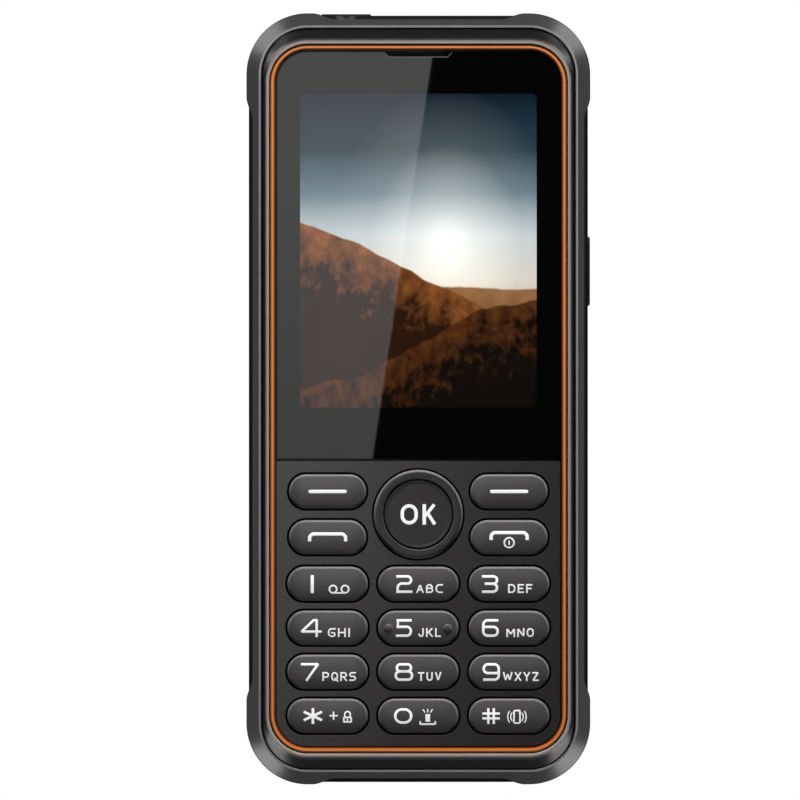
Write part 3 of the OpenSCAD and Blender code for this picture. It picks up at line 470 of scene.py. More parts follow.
# Each step: width, height, corner radius, depth, and the share of pale lip colour there, partly a painted
# highlight
bezel_steps = [
    (57.6, 136.0, 8.5, -6.0, 0.0), (57.6, 136.0, 8.5, -7.02, 0.0), (57.54, 135.9, 8.47, -7.1, 0.05),
    (57.4, 135.65, 8.4, -7.18, 0.05), (57.2, 135.3, 8.28, -7.26, 0.05), (57.05, 135.1, 8.2, -7.32, 0.03),
    (56.5, 132.5, 7.95, -8.02, 0.0), (56.45, 132.3, 7.92, -8.08, 0.0), (56.3, 131.9, 7.85, -8.34, 0.0),
    (56.1, 131.6, 7.75, -8.45, 0.25), (55.8, 131.2, 7.6, -8.49, 0.6), (55.4, 130.8, 7.4, -8.5, 0.95),
    (55.0, 130.4, 7.2, -8.5, 1.0), (54.9, 130.3, 7.15, -8.47, 1.0), (54.84, 130.24, 7.12, -8.4, 0.8),
    (54.8, 130.2, 7.1, -8.3, 0.0), (54.8, 130.2, 7.1, -7.2, 0.0),
    (52.4, 127.8, 5.9, -7.2, 0.0), (52.4, 127.8, 5.9, -6.8, 0.0), (50.7, 126.1, 5.05, -6.8, 0.0),
    (50.7, 126.1, 5.05, -6.0, 0.0),
]


def frame_ring(width, height, radius, deep):
    """Points round an upright rounded rectangle at a depth."""
    return [(x, deep, z) for x, z, _, _ in outline(width, height, radius, turn=28)]


bezel_rings = [frame_ring(*step[:4]) for step in bezel_steps]
bezel = loft("bezel_shell", bezel_rings, [step[4] for step in bezel_steps])
bar_corners = ((-25.4, SHELF), (25.4, SHELF), (25.4, -6.0), (-25.4, -6.0))
bar = loft("bar", [[(x, deep, z) for x, deep in bar_corners] for z in (58.35, 60.55)], capped=True)
join(bezel, [bar])
# The lip's painted highlight is stronger at the foot
for vertex, mark in zip(bezel.data.vertices, bezel.data.attributes["edge"].data):
    if vertex.co.y < -8.4 * MM:
        mark.value *= 1 + 2 * ease(-vertex.co.z / MM, -12, -6)
lip_paint_and_highlight = moulding("bezel_finish", (0.003, 0.003, 0.0032), 0.27, pits=0.000001, highlight_colour=(0.30, 0.27, 0.245),
                     scuff=0.1, specular=0.33, uneven=0.01)
dress(bezel, lip_paint_and_highlight, "phone", ["front_bezel"])


# Coloured ring: an orange moulded bead pressed into the bezel's step all round the face.
# Its crown is round; its middle is painted bright as a painted highlight and its flanks dark as painted
# shade.
bead_steps = [(0.07, -7.2, 0.0)]
for step in range(17):
    turn = math.radians(180 * step / 16)
    bead_steps.append((0.61 - 0.54 * math.cos(turn), -7.85 - 0.5 * math.sin(turn), math.sin(turn) ** 8))
bead_steps.append((1.15, -7.2, 0.0))
bead_rings = []
for inset, deep, _ in bead_steps:
    width, height, radius = RING_SEAT
    bead_rings.append(frame_ring(width - 2 * inset, height - 2 * inset, radius - inset, deep))
bead = loft("accent_bead", bead_rings, [s[2] for s in bead_steps], sharp=60)
# The outer flank gets more painted highlight at the foot
round_count = len(bead_rings[0])
for vertex, mark in zip(bead.data.vertices, bead.data.attributes["edge"].data):
    if vertex.index // round_count < 9:
        mark.value **= 1 - 0.8 * ease(-vertex.co.z / MM, -12, -6.5)
# The dark red base shows on the flanks as painted shade, and the bright orange on the crown is a painted
# highlight
orange = moulding("accent_finish", (0.13, 0.019, 0.0005), 0.45, scale=7000.0, pits=0.00001, vary=0.06,
                  highlight_colour=(0.68, 0.24, 0.065), scuff=0.1, specular=0.3)
dress(bead, orange, "phone", ["accent_ring"])


# Front window: an acrylic sheet with a notch for the earpiece, bonded to the bezel's shelf.
# It is moulded in two shots, a glossy black frame with a chamfered rim and a clear pane over the screen.
# The pane is coated against glare, so the gloss over the screen is the display's own.
FACE_SIDE = 26.1
FACE_TURN = 5.8
NOTCH = ((6.264, 134.5), (5.4, 133.5))


def arc(x, z, radius, start=0, stop=360, steps=24):
    """Points (x, z) along a circle or a part of it."""
    turns = [math.radians(start + (stop - start) * i / steps) for i in range(steps + 1)]
    return [(x + radius * math.cos(t), z + radius * math.sin(t)) for t in turns]


def window_line(inset):
    """Points (x, z) round the window, drawn in by a distance."""
    side = FACE_SIDE - inset
    top = NOTCH[0][1] - inset
    foot = 59.575 + inset
    radius = FACE_TURN - inset
    slant = 0.458 * inset
    half_notch = [(x + slant, z - inset) for x, z in NOTCH]
    points = [(-side, foot), (side, foot)]
    points += arc(side - radius, top - radius, radius, 0, 90)
    points += half_notch
    points += [(-x, z) for x, z in reversed(half_notch)]
    points += arc(-side + radius, top - radius, radius, 90, 180)
    return points


def fixed(points):
    """A line that is the same for every inset."""
    return lambda inset: points


def plate(name, lines, front, back, chamfer, shaded_sides=False):
    """A flat plate with holes: each line gives a loop of points for an inset; rims are rounded in front.

    With shaded_sides its walls, behind the rims, take the second finish, black as painted shade in the gaps.
    """
    work = bmesh.new()
    rim_steps = 3

    def loop(line, inset, deep):
        spots = [work.verts.new(Vector((x, deep, z)) * MM) for x, z in line(inset)]
        edges = [work.edges.new((spots[i], spots[(i + 1) % len(spots)])) for i in range(len(spots))]
        return spots, edges

    def bridge(low, high, fill):
        for i in range(len(low)):
            k = (i + 1) % len(low)
            work.faces.new((low[i], low[k], high[k], high[i])).material_index = fill

    front_edges = []
    back_edges = []
    for line in lines:
        stages = []
        for step in range(rim_steps + 1 if chamfer else 1):
            angle = math.radians(90 * step / rim_steps)
            stages.append((chamfer * (1 - math.sin(angle)), front + chamfer * (1 - math.cos(angle))))
        stages.append((0.0, back))
        loops = [loop(line, inset, deep) for inset, deep in stages]
        for i, (low, high) in enumerate(zip(loops, loops[1:])):
            bridge(low[0], high[0], int(shaded_sides and i > 0))
        front_edges += loops[0][1]
        back_edges += loops[-1][1]
    bmesh.ops.triangle_fill(work, use_beauty=True, edges=front_edges)
    bmesh.ops.triangle_fill(work, use_beauty=True, edges=back_edges)
    bmesh.ops.recalc_face_normals(work, faces=work.faces)
    mesh = bpy.data.meshes.new(name)
    work.to_mesh(mesh)
    work.free()
    shade(mesh, 40)
    flat = [round(v.co.y / MM, 4) for v in mesh.vertices]
    for edge in mesh.edges:
        if {flat[i] for i in edge.vertices} in ({round(front, 4)}, {round(back, 4)}):
            edge.use_edge_sharp = True
    return add_to_scene(name, mesh)


FACE = -7.9
SCREEN = (43.4, 57.6)
SCREEN_Z = 97.9


def screen_line(width, height, radius, turn):
    """Points (x, z) round an upright rounded rectangle about the screen's middle."""
    return [(x, z + SCREEN_Z - MID_Z) for x, z, _, _ in outline(width, height, radius, turn=turn)]


window = plate("front_window", [window_line, fixed(screen_line(*SCREEN, 0.9, 8))], FACE, SHELF, 0.16)
frame_gloss = moulding("window_black", (0.0008, 0.0008, 0.0009), 0.02, scale=3000.0, pits=0.0, vary=0.3,
                       specular=0.45, uneven=0.01)
notch_highlight = moulding("window_notch_highlight", (0.08, 0.08, 0.08), 0.35, scale=9000.0, vary=0.2)
# The cut rim of the notch is painted paler than the face, a painted highlight along its chamfer
for face in window.data.polygons:
    x, deep, z = face.center / MM
    if z > 133.25 and abs(x) < 6.6 and -7.899 < deep < -7.7:
        face.material_index = 1
dress(window, [frame_gloss, notch_highlight], "phone", ["display_window"])

bond = 0.02
pane_line = screen_line(SCREEN[0] - bond, SCREEN[1] - bond, 0.9, 8)
pane = plate("window_pane", [fixed(pane_line)], FACE, SHELF, 0.0)
clear_levels = [("Transmission Weight", 1.0), ("IOR", 1.47), ("Specular Tint", (0, 0, 0, 1)),
                ("Roughness", 0.0)]
clear, clear_tree, clear_shader = bare_finish("window_clear", clear_levels)
smear = noise(clear_tree, place_on(clear_tree), 35.0, 4.0)
smeared = blend(clear_tree, smear, (1, 1, 1, 1), (0.96, 0.96, 0.965, 1))
clear_tree.links.new(smeared, clear_shader.inputs["Base Color"])
ink_black = moulding("window_ink", (0.0008, 0.0008, 0.0009), 0.6, scale=3000.0, vary=0.3, specular=0.0)
for face in pane.data.polygons:
    face.material_index = int(abs(face.normal.y) < 0.5)
dress(pane, [clear, ink_black], "phone")


# Earpiece grille: fine crossed wires of dark steel in the window's notch, over the receiver's sound way.
# They lie in two layers on black felt, which is pressed into the bezel's shelf.
def shape_tree(name, sockets):
    """An empty tree of geometry nodes with named inputs, and the outputs of its start."""
    tree = bpy.data.node_groups.new(name, "GeometryNodeTree")
    for label, kind in [("Geometry", "Geometry")] + sockets:
        tree.interface.new_socket(label, in_out="INPUT", socket_type="NodeSocket" + kind)
    tree.interface.new_socket("Geometry", in_out="OUTPUT", socket_type="NodeSocketGeometry")
    return tree, tree.nodes.new("NodeGroupInput").outputs


def end_tree(tree, shape, finish):
    """Ends a tree with its shape in a finish."""
    real = node(tree, "GeometryNodeRealizeInstances", [("Geometry", shape)])
    made = node(tree, "GeometryNodeSetMaterial", [("Geometry", real.outputs[0]), ("Material", finish)])
    node(tree, "NodeGroupOutput", [("Geometry", made.outputs[0])])
    return tree


def circle(tree, count, radius):
    """A round or many-sided loop."""
    made = node(tree, "GeometryNodeCurvePrimitiveCircle", [("Resolution", count), ("Radius", radius)])
    return made.outputs["Curve"]


def wire_tree():
    """Paths swept into round wires."""
    tree, start = shape_tree("wire_sweep", [("Radius", "Float"), ("Metal", "Material")])
    paths = node(tree, "GeometryNodeMeshToCurve", [("Mesh", start["Geometry"])])
    swept = node(tree, "GeometryNodeCurveToMesh",
                 [("Curve", paths.outputs[0]), ("Profile Curve", circle(tree, 5, start["Radius"])),
                  ("Fill Caps", True)])
    return end_tree(tree, swept.outputs[0], start["Metal"])


def loose(name, points, edges):
    """A piece of bare points and edges, in mm, for a tree to work on."""
    mesh = bpy.data.meshes.new(name)
    mesh.from_pydata([Vector(p) * MM for p in points], edges, [])
    return add_to_scene(name, mesh)


def strung(name, paths):
    """Bare paths, each a row of points."""
    points = []
    edges = []
    for path in paths:
        edges += [(len(points) + i, len(points) + i + 1) for i in range(len(path) - 1)]
        points += path
    return loose(name, points, edges)


def grown(piece, tree, values):
    """The piece as a tree of geometry nodes makes it, with the tree's inputs set by their names."""
    step = piece.modifiers.new(tree.name, "NODES")
    step.node_group = tree
    for item in tree.interface.items_tree:
        if item.in_out == "INPUT" and item.name in values:
            step[item.identifier] = values[item.name]
    baked(piece)
    shade(piece.data, 50)
    return piece


def rolled_lines():
    """Fine lines of rolled or brushed metal, stretched along an axis, from place alone."""
    tree, start, end = group("rolled_lines", [("Stretch", "NodeSocketVector", (400.0, 400.0, 9000.0))],
                             [("Lines", "NodeSocketFloat")])
    drawn = node(tree, "ShaderNodeVectorMath", [(0, place_on(tree)), (1, start.outputs["Stretch"])],
                 operation="MULTIPLY")
    tree.links.new(noise(tree, drawn.outputs[0], 1.0, 4.0), end.inputs["Lines"])
    return tree


LINES = rolled_lines()


def metal(name, colour, rough, stretch=(400.0, 400.0, 9000.0)):
    """Metal with fine rolled lines in its colour, gloss and height."""
    made, tree, shader = bare_finish(name, [("Metallic", 1.0)])
    lines = node(tree, "ShaderNodeGroup", [("Stretch", stretch)], node_tree=LINES).outputs["Lines"]
    tone = blend(tree, lines, tint(colour, 0.8), tint(colour, 1.2))
    lay(tree, shader, tone, lines, (rough - 0.08, rough + 0.12), (lines, 0.3, 0.00001))
    return made


grille_paths = []
for step in range(41):
    x = -6.4 + 0.32 * step
    for deep, lean in ((-7.02, 0.8), (-7.16, -0.8)):
        if abs(x) < 5.3 and abs(x + lean) < 6.1:
            grille_paths.append([(x, deep, 133.66), (x + lean, deep, 134.44)])
dark_steel = metal("grille_steel", (0.025, 0.025, 0.026), 0.4, (5000.0, 5000.0, 900.0))
grille_wires = wire_tree()
grille = grown(strung("earpiece_grille", grille_paths), grille_wires,
               {"Radius": 0.07 * MM, "Metal": dark_steel})
felt_line = [(-5.4, 133.61), (5.4, 133.61), (6.24, 134.5), (-6.24, 134.5)]
felt = plate("felt", [fixed(felt_line)], -6.95, SHELF, 0.0)
felt.data.polygons.foreach_set("material_index", [1] * len(felt.data.polygons))
join(grille, [felt])
felt_black = moulding("felt_black", (0.003, 0.003, 0.003), 0.9, scale=9000.0, pits=0.00003, specular=0.1)
dress(grille, [dark_steel, felt_black], "phone", ["earpiece_mesh"])


# Lit screen: the front glass of the display, inside its foam frame and up against the window.
# A plain landscape of sky and rolling hills glows on it, worked out from place on the screen.
picture = plate("lit_picture", [fixed(screen_line(44.1, 58.5, 0.6, 6))], SHELF + 0.01, -5.91, 0.0)
glow_levels = [("Emission Strength", 0.8), ("Base Color", (0.004, 0.004, 0.005, 1)), ("Roughness", 0.02),
               ("Specular IOR Level", 0.45)]
glow, glow_tree, glow_shader = bare_finish("screen_picture", glow_levels)
screen_foot = SCREEN_Z - SCREEN[1] / 2
spot = node(glow_tree, "ShaderNodeMapping",
            [("Vector", place_on(glow_tree)), ("Location", (0.0, 0.0, -screen_foot / SCREEN[1])),
             ("Scale", (1 / (SCREEN[0] * MM), 1.0, 1 / (SCREEN[1] * MM)))])


def axes(tree, place):
    """The three measures of a place, by the names of their axes."""
    return node(tree, "ShaderNodeSeparateXYZ", [("Vector", place)]).outputs


on_screen = axes(glow_tree, spot.outputs[0])
across = on_screen["X"]
up = on_screen["Z"]


def ramp(tree, source, stops):
    """A run of colours at their stops."""
    made = node(tree, "ShaderNodeValToRGB", [("Fac", source)])
    while len(made.color_ramp.elements) < len(stops):
        made.color_ramp.elements.new(0.5)
    for element, (place, colour) in zip(made.color_ramp.elements, stops):
        element.position = place
        element.color = (*colour, 1)
    return made.outputs["Color"]


sky = ramp(glow_tree, up, [(0.30, (0.75, 0.40, 0.15)), (0.40, (0.85, 0.79, 0.68)), (0.55, (0.68, 0.76, 0.78)),
                           (0.68, (0.16, 0.25, 0.31)), (0.82, (0.022, 0.054, 0.08)),
                           (1.0, (0.004, 0.014, 0.028))])
from_sun = node(glow_tree, "ShaderNodeVectorMath", [(0, spot.outputs[0]), (1, (0.12, 0.0, 0.52))],
                operation="DISTANCE")
sun = ramp(glow_tree, from_sun.outputs["Value"], [(0.0, (0.75, 0.72, 0.62)), (0.12, (0.4, 0.39, 0.34)),
                                                  (0.32, (0.06, 0.06, 0.055)), (0.5, (0.0, 0.0, 0.0))])
picture_colour = blend(glow_tree, 1.0, sky, sun, "ADD")
# Three ranges of hills from far to near: height, swing, waviness, tilt, lit and shaded colours, and grain
hills = [(0.40, 0.06, 1.7, -0.05, (0.42, 0.20, 0.08), (0.25, 0.12, 0.05), 9.0),
         (0.40, 0.14, 1.3, -0.36, (0.36, 0.115, 0.025), (0.024, 0.008, 0.002), 11.0),
         (0.20, 0.10, 2.3, 0.30, (0.13, 0.038, 0.008), (0.004, 0.002, 0.001), 20.0)]
for number, (base, swing, wave, tilt, lit, dark, rough_scale) in enumerate(hills):
    line_at = node(glow_tree, "ShaderNodeCombineXYZ", [("X", across), ("Y", 3.7 * number + 1.3), ("Z", 0.0)])
    crest = noise(glow_tree, line_at.outputs[0], wave, 6.0, 0.42)
    height = sums(glow_tree, "MULTIPLY_ADD", crest, 2 * swing, base - swing)
    height = sums(glow_tree, "MULTIPLY_ADD", across, tilt, height)
    below = sums(glow_tree, "SUBTRACT", height, up)
    inside = carried(glow_tree, below, (-0.003, 0.003))
    stone = noise(glow_tree, spot.outputs[0], rough_scale, 9.0, 0.68)
    shade_by = sums(glow_tree, "MULTIPLY_ADD", below, 1.3, stone)
    ground = ramp(glow_tree, shade_by, [(0.40, lit), (0.72, dark)])
    picture_colour = blend(glow_tree, inside, picture_colour, ground)
glow_tree.links.new(picture_colour, glow_shader.inputs["Emission Color"])
dress(picture, glow, "phone")


# Keypad panel: a graphite plate under the window with a hole for every key, bonded to the bezel.
# The rims of its holes are slightly rounded.
KEY_X = 16.65
SOFT_X = 16.652
ROWS = (12.55, 20.62, 28.69, 36.76)
CALL_Z = 45.3
SOFT_Z = 53.7
NAV_Z = 49.5
KEY = (14.9, 6.4)
SOFT = (14.296, 6.4)
number_keys = [("key_star", -1, 0), ("key_0", 0, 0), ("key_hash", 1, 0), ("key_7", -1, 1), ("key_8", 0, 1),
               ("key_9", 1, 1), ("key_4", -1, 2), ("key_5", 0, 2), ("key_6", 1, 2), ("key_1", -1, 3),
               ("key_2", 0, 3), ("key_3", 1, 3)]
soft_keys = [("soft_key_left", -1, SOFT_Z), ("soft_key_right", 1, SOFT_Z), ("call_key", -1, CALL_Z),
             ("end_key", 1, CALL_Z)]
caps = {name: (side * KEY_X, ROWS[row], *KEY) for name, side, row in number_keys}
caps.update({name: (side * SOFT_X, z, *SOFT) for name, side, z in soft_keys})


def panel_line(inset):
    """Points (x, z) round the keypad panel, drawn in by a distance."""
    side = FACE_SIDE - inset
    foot = 6.9 + inset
    head = 59.325 - inset
    wide = FACE_TURN - inset
    points = []
    corners = ((side, foot, wide, 270), (side, head, 0.25, 0), (-side, head, 0.25, 90),
               (-side, foot, wide, 180))
    for x, z, radius, start in corners:
        middle_x = x - math.copysign(radius, x)
        middle_z = z + (radius if z == foot else -radius)
        points += arc(middle_x, middle_z, radius, start, start + 90, 20)
    return points


def hole_line(x, z, width, height, gap):
    """The rim of a key's hole, for any inset."""
    return lambda inset: pill(x, z, width, height, gap + inset)


key_holes = [hole_line(*cap, 0.28) for cap in caps.values()] + [hole_line(0, NAV_Z, 16.4, 16.4, 0.26)]
# The walls of the key holes are black as painted shade in the gaps round the keys
panel = plate("keypad_plate", [panel_line] + key_holes, FACE, SHELF, 0.1, shaded_sides=True)
graphite = moulding("panel_finish", (0.017, 0.0158, 0.0156), 0.34, scale=4200.0, pits=0.000012, vary=0.08,
                    specular=0.95)
gap_shade = moulding("gap_shade", (0.002, 0.002, 0.002), 0.8, specular=0.05)
dress(panel, [graphite, gap_shade], "phone", ["keypad_panel"])


# Pill keys: hard caps with a crowned face and a rounded rim, each on a flange under the panel.
# A plunger behind each cap meets its snap dome on the board.
CROWN = -8.4
BEND = 0.0386


def crown_depth(away):
    """Depth of the crowned face at a distance from the key's long axis."""
    return CROWN + BEND * away * away


def post(name, x, z, width, ends, turn):
    """A round peg between two depths."""
    return loft(name, [front_pill(deep, x, z, width, width, turn=turn) for deep in ends], capped=True)


def pill_cap(name, x, z, width, height):
    """A key's cap with its flange and plunger."""
    half = height / 2
    rim = 0.42
    top = crown_depth(half - rim)
    stages = [(0.5, -6.2), (0.5, -6.7), (0.0, -6.7), (0.0, top + 0.36), (-0.01, top + 0.3),
              (-0.04, top + 0.255), (-0.06, top + 0.24), (-0.36, top + 0.03), (-0.39, top + 0.012),
              (-0.45, crown_depth(half - 0.45))]
    for share in (0.8, 0.65, 0.5, 0.35, 0.2, 0.08):
        stages.append((half * (share - 1), crown_depth(half * share)))
    rings = [front_pill(deep, x, z, width, height, grow - 0.03) for grow, deep in stages]
    # The flange and the side walls take the gap black, painted shade
    cap = loft(name, rings, capped=True, sharp=50, fills=[1] * 4 + [0] * (len(rings) - 5))
    join(cap, [post("peg", x, z, 2.4, (-4.0, -6.2), 16)])
    return cap


def touch_dot(x, z):
    """A round pip to feel for, on a key's face."""
    rings = []
    for radius, rise in ((0.85, -0.12), (0.8, 0.0), (0.7, 0.1), (0.54, 0.18), (0.34, 0.23), (0.1, 0.25)):
        rings.append(front_pill(CROWN - rise, x, z, 2 * radius, 2 * radius, turn=16))
    return loft("pip", rings, capped=True, sharp=60)


key_grey = moulding("key_finish", (0.052, 0.050, 0.049), 0.34, scale=6500.0, pits=0.000012, vary=0.06)
key_faces = []
for name, cap in caps.items():
    piece = pill_cap(name + "_cap", *cap)
    if name == "key_5":
        join(piece, [touch_dot(-5.45, cap[1] - 0.1), touch_dot(5.35, cap[1] - 0.1)])
    shade(piece.data, 50)
    dress(piece, [key_grey, gap_shade], name, [name])
    key_faces.append(piece)


# Navigation ring and centre key: a rocking ring round a dished button, both turned shapes.
# The ring's outer rim is rounded, and the button's face is sunk inside a sloped rim for the thumb.
def turned(name, section, z, steps=128, sharp=40, solid=False, fills=None, x=0.0):
    """A section of (radius, depth) turned about an axis that runs through the phone."""
    turns = [2 * math.pi * i / steps for i in range(steps)]
    rings = []
    for radius, deep in section:
        rings.append([(x + radius * math.cos(t), deep, z + radius * math.sin(t)) for t in turns])
    return loft(name, rings, capped=solid, sharp=sharp, fills=fills)


ring_section = [(6.45, -5.9), (8.65, -5.9), (8.65, -6.4), (8.2, -6.4), (8.2, -8.0), (8.19, -8.06),
                (8.16, -8.1), (8.14, -8.115), (7.8, -8.34), (7.77, -8.355), (7.7, -8.375), (7.6, -8.38),
                (7.5, -8.38), (6.75, -8.36), (6.65, -8.355), (6.55, -8.32), (6.48, -8.25), (6.45, -8.15)]
# The ring's flanks and underside take the gap black, painted shade
nav_ring = turned("nav_ring_cap", ring_section, NAV_Z, fills=[1] * 4 + [0] * 13 + [1])
join(nav_ring, [post("nub", side * 7.95, NAV_Z, 1.2, (-4.0, -5.9), 12) for side in (-1, 1)])
ring_grey = moulding("nav_ring_finish", (0.016, 0.0153, 0.015), 0.3, scale=6500.0, pits=0.00001, vary=0.06,
                     specular=0.75)
dress(nav_ring, [ring_grey, gap_shade], "nav_ring", ["nav_ring"])

OK_FACE = -8.05
button_section = [(1.2, -4.0), (1.2, -5.2), (6.9, -5.2), (6.9, -5.6), (6.25, -5.6), (6.25, -7.95)]
for step in range(1, 5):
    angle = math.radians(90 * step / 4)
    button_section.append((6.07 + 0.18 * math.cos(angle), -7.95 - 0.18 * math.sin(angle)))
button_section += [(6.0, -8.13), (5.9, -8.115), (5.75, -8.07)]
button_section += [(radius, OK_FACE) for radius in (5.65, 5.6, 5.4)]
# The button's underside and side wall take the gap black, painted shade
button = turned("ok_button", button_section, NAV_Z, solid=True, fills=[1] * 5 + [0] * 10)
button_grey = moulding("ok_finish", (0.023, 0.022, 0.0213), 0.36, scale=6500.0, pits=0.000012, vary=0.06)
dress(button, [button_grey, gap_shade], "ok_key", ["ok_key"])
key_faces += [nav_ring, button]


# Legends: white figures, letters and signs let into the keys, lit a little from behind.
# Each is a path of straight runs with rounded turns, swept and laid on the key's curved face.

# Each sign's paths in a box of 1 by 1
STROKES = {
    "0": [((0, 0), (1, 0), (1, 1), (0, 1), (0, 0))], "1": [((0.5, 0), (0.5, 1))],
    "2": [((0, 1), (1, 1), (1, 0.53), (0, 0.53), (0, 0)), ((0, 0), (1, 0))],
    "3": [((0, 1), (1, 1), (1, 0.52), (0.2, 0.52)), ((0.8, 0.52), (1, 0.52), (1, 0), (0, 0))],
    "4": [((0.8, 0), (0.8, 1), (0.64, 1), (0, 0.27), (1, 0.27))],
    "5": [((0.96, 1), (0.06, 1)), ((0.06, 1), (0.06, 0.58)), ((0.06, 0.58), (1, 0.58), (1, 0), (0, 0))],
    "6": [((0.95, 1), (0, 1), (0, 0), (1, 0), (1, 0.57), (0, 0.57))],
    "7": [((0, 1), (1, 1), (0.3, 0))],
    "8": [((0, 0), (1, 0), (1, 0.54), (0, 0.54), (0, 0)),
          ((0.07, 0.54), (0.93, 0.54), (0.93, 1), (0.07, 1), (0.07, 0.54))],
    "9": [((0.05, 0), (1, 0), (1, 1), (0, 1), (0, 0.43), (1, 0.43))],
    "*": [((0.5, 0), (0.5, 1)), ((0, 0.22), (1, 0.78)), ((0, 0.78), (1, 0.22))],
    "#": [((0.32, 0), (0.32, 1)), ((0.68, 0), (0.68, 1)), ((0, 0.32), (1, 0.32)), ((0, 0.68), (1, 0.68))],
    "+": [((0, 0.5), (1, 0.5)), ((0.5, 0), (0.5, 1))],
    "A": [((0, 0), (0.5, 1), (1, 0)), ((0.2, 0.32), (0.8, 0.32))],
    "B": [((0, 0), (1, 0), (1, 0.54), (0, 0.54)), ((0, 0), (0, 1), (0.93, 1), (0.93, 0.54))],
    "C": [((1, 1), (0, 1), (0, 0), (1, 0))],
    "D": [((0, 0), (1, 0), (1, 1), (0, 1)), ((0, 0), (0, 1))],
    "E": [((1, 1), (0, 1)), ((0, 0.52), (0.85, 0.52)), ((0, 0), (1, 0)), ((0, 0), (0, 1))],
    "F": [((1, 1), (0, 1)), ((0, 0.5), (0.85, 0.5)), ((0, 0), (0, 1))],
    "G": [((1, 1), (0, 1), (0, 0), (1, 0), (1, 0.47), (0.5, 0.47))],
    "H": [((0, 0), (0, 1)), ((1, 0), (1, 1)), ((0, 0.5), (1, 0.5))], "I": [((0.5, 0), (0.5, 1))],
    "J": [((1, 1), (1, 0), (0, 0), (0, 0.25))],
    "K": [((0, 0), (0, 1)), ((0.94, 1), (0.1, 0.4)), ((0.34, 0.58), (1, 0))],
    "L": [((0, 1), (0, 0)), ((0, 0), (1, 0))], "M": [((0, 0), (0, 1), (0.5, 0.3), (1, 1), (1, 0))],
    "N": [((0, 0), (0, 1), (1, 0), (1, 1))], "O": [((0, 0), (1, 0), (1, 1), (0, 1), (0, 0))],
    "P": [((0, 0), (0, 1)), ((0, 1), (1, 1), (1, 0.42), (0, 0.42))],
    "Q": [((0, 0), (1, 0), (1, 1), (0, 1), (0, 0)), ((0.6, 0.25), (1.05, -0.1))],
    "R": [((0, 0), (0, 1)), ((0, 1), (1, 1), (1, 0.44), (0, 0.44)), ((0.45, 0.44), (1, 0))],
    "S": [((1, 1), (0, 1), (0, 0.52), (1, 0.52), (1, 0), (0, 0))],
    "T": [((0, 1), (1, 1)), ((0.5, 0), (0.5, 1))],
    "U": [((0, 1), (0, 0), (1, 0), (1, 1))], "V": [((0, 1), (0.5, 0), (1, 1))],
    "W": [((0, 1), (0.25, 0), (0.5, 0.85), (0.75, 0), (1, 1))], "X": [((0, 0), (1, 1)), ((0, 1), (1, 0))],
    "Y": [((0, 1), (0.5, 0.45), (1, 1)), ((0.5, 0.5), (0.5, 0))], "Z": [((0, 1), (1, 1), (0, 0), (1, 0))],
}
LETTER_WIDTH = {"I": 0.3, "M": 1.2, "W": 1.45, "J": 0.8, "L": 0.85, "E": 0.85, "F": 0.85}


def legend_tree():
    """Paths swept into flat strokes that lie on a face of the given crown or dish."""
    tree, start = shape_tree("legend_strokes", [("Ink", "Material"), ("Centre", "Vector"), ("Reach", "Float"),
                                                ("Base", "Float"), ("Bend", "Float")])
    paths = node(tree, "GeometryNodeMeshToCurve", [("Mesh", start["Geometry"])])
    bend_by = node(tree, "GeometryNodeInputNamedAttribute", [("Name", "round")], data_type="FLOAT")
    rounded = node(tree, "GeometryNodeFilletCurve",
                   [("Curve", paths.outputs[0]), ("Count", 8), ("Radius", bend_by.outputs["Attribute"]),
                    ("Limit Radius", True)], mode="POLY")
    width = node(tree, "GeometryNodeInputNamedAttribute", [("Name", "stroke")], data_type="FLOAT")
    swept = node(tree, "GeometryNodeCurveToMesh",
                 [("Curve", rounded.outputs[0]), ("Profile Curve", circle(tree, 10, 1.0)),
                  ("Scale", width.outputs["Attribute"]), ("Fill Caps", True)])
    here = axes(tree, node(tree, "GeometryNodeInputPosition").outputs[0])
    heart = axes(tree, start["Centre"])
    aside = sums(tree, "ABSOLUTE", sums(tree, "SUBTRACT", here["X"], heart["X"]))
    beyond = sums(tree, "MAXIMUM", sums(tree, "SUBTRACT", aside, start["Reach"]), 0.0)
    above = sums(tree, "SUBTRACT", here["Z"], heart["Z"])
    away = sums(tree, "MULTIPLY_ADD", beyond, beyond, sums(tree, "MULTIPLY", above, above))
    face = sums(tree, "MULTIPLY_ADD", away, start["Bend"], start["Base"])
    flattened = 0.08
    deep = sums(tree, "MULTIPLY_ADD", here["Y"], flattened, face)
    laid = node(tree, "ShaderNodeCombineXYZ", [("X", here["X"]), ("Y", deep), ("Z", here["Z"])])
    moved = node(tree, "GeometryNodeSetPosition",
                 [("Geometry", swept.outputs[0]), ("Position", laid.outputs[0])])
    return end_tree(tree, moved.outputs[0], start["Ink"])


def sign(shape, left, foot, width, height, stroke, turn):
    """Paths of a sign fitted to a box measured over its strokes, in mm from the key's middle."""
    half = stroke / 2
    paths = []
    for path in shape:
        spots = []
        for a, b in path:
            spots.append(Vector((left + half + (width - stroke) * a, foot + half + (height - stroke) * b)))
        if path[0] != path[-1]:
            spots[0] = spots[0] + (spots[0] - spots[1]).normalized() * half
            spots[-1] = spots[-1] + (spots[-1] - spots[-2]).normalized() * half
        paths.append(([tuple(s) for s in spots], half, turn))
    return paths


def word(letters, left, right, foot, height, stroke, turn):
    """Letters of their own widths set side by side between two limits."""
    gap = 0.4
    widths = [LETTER_WIDTH.get(letter, 1.0) for letter in letters]
    unit = (right - left - gap * (len(letters) - 1)) / sum(widths)
    paths = []
    for letter, share in zip(letters, widths):
        sharp_turn = 0.06 if letter in "AVWMNZKXY" else turn
        paths += sign(STROKES[letter], left, foot, unit * share, height, stroke, sharp_turn)
        left += unit * share + gap
    return paths


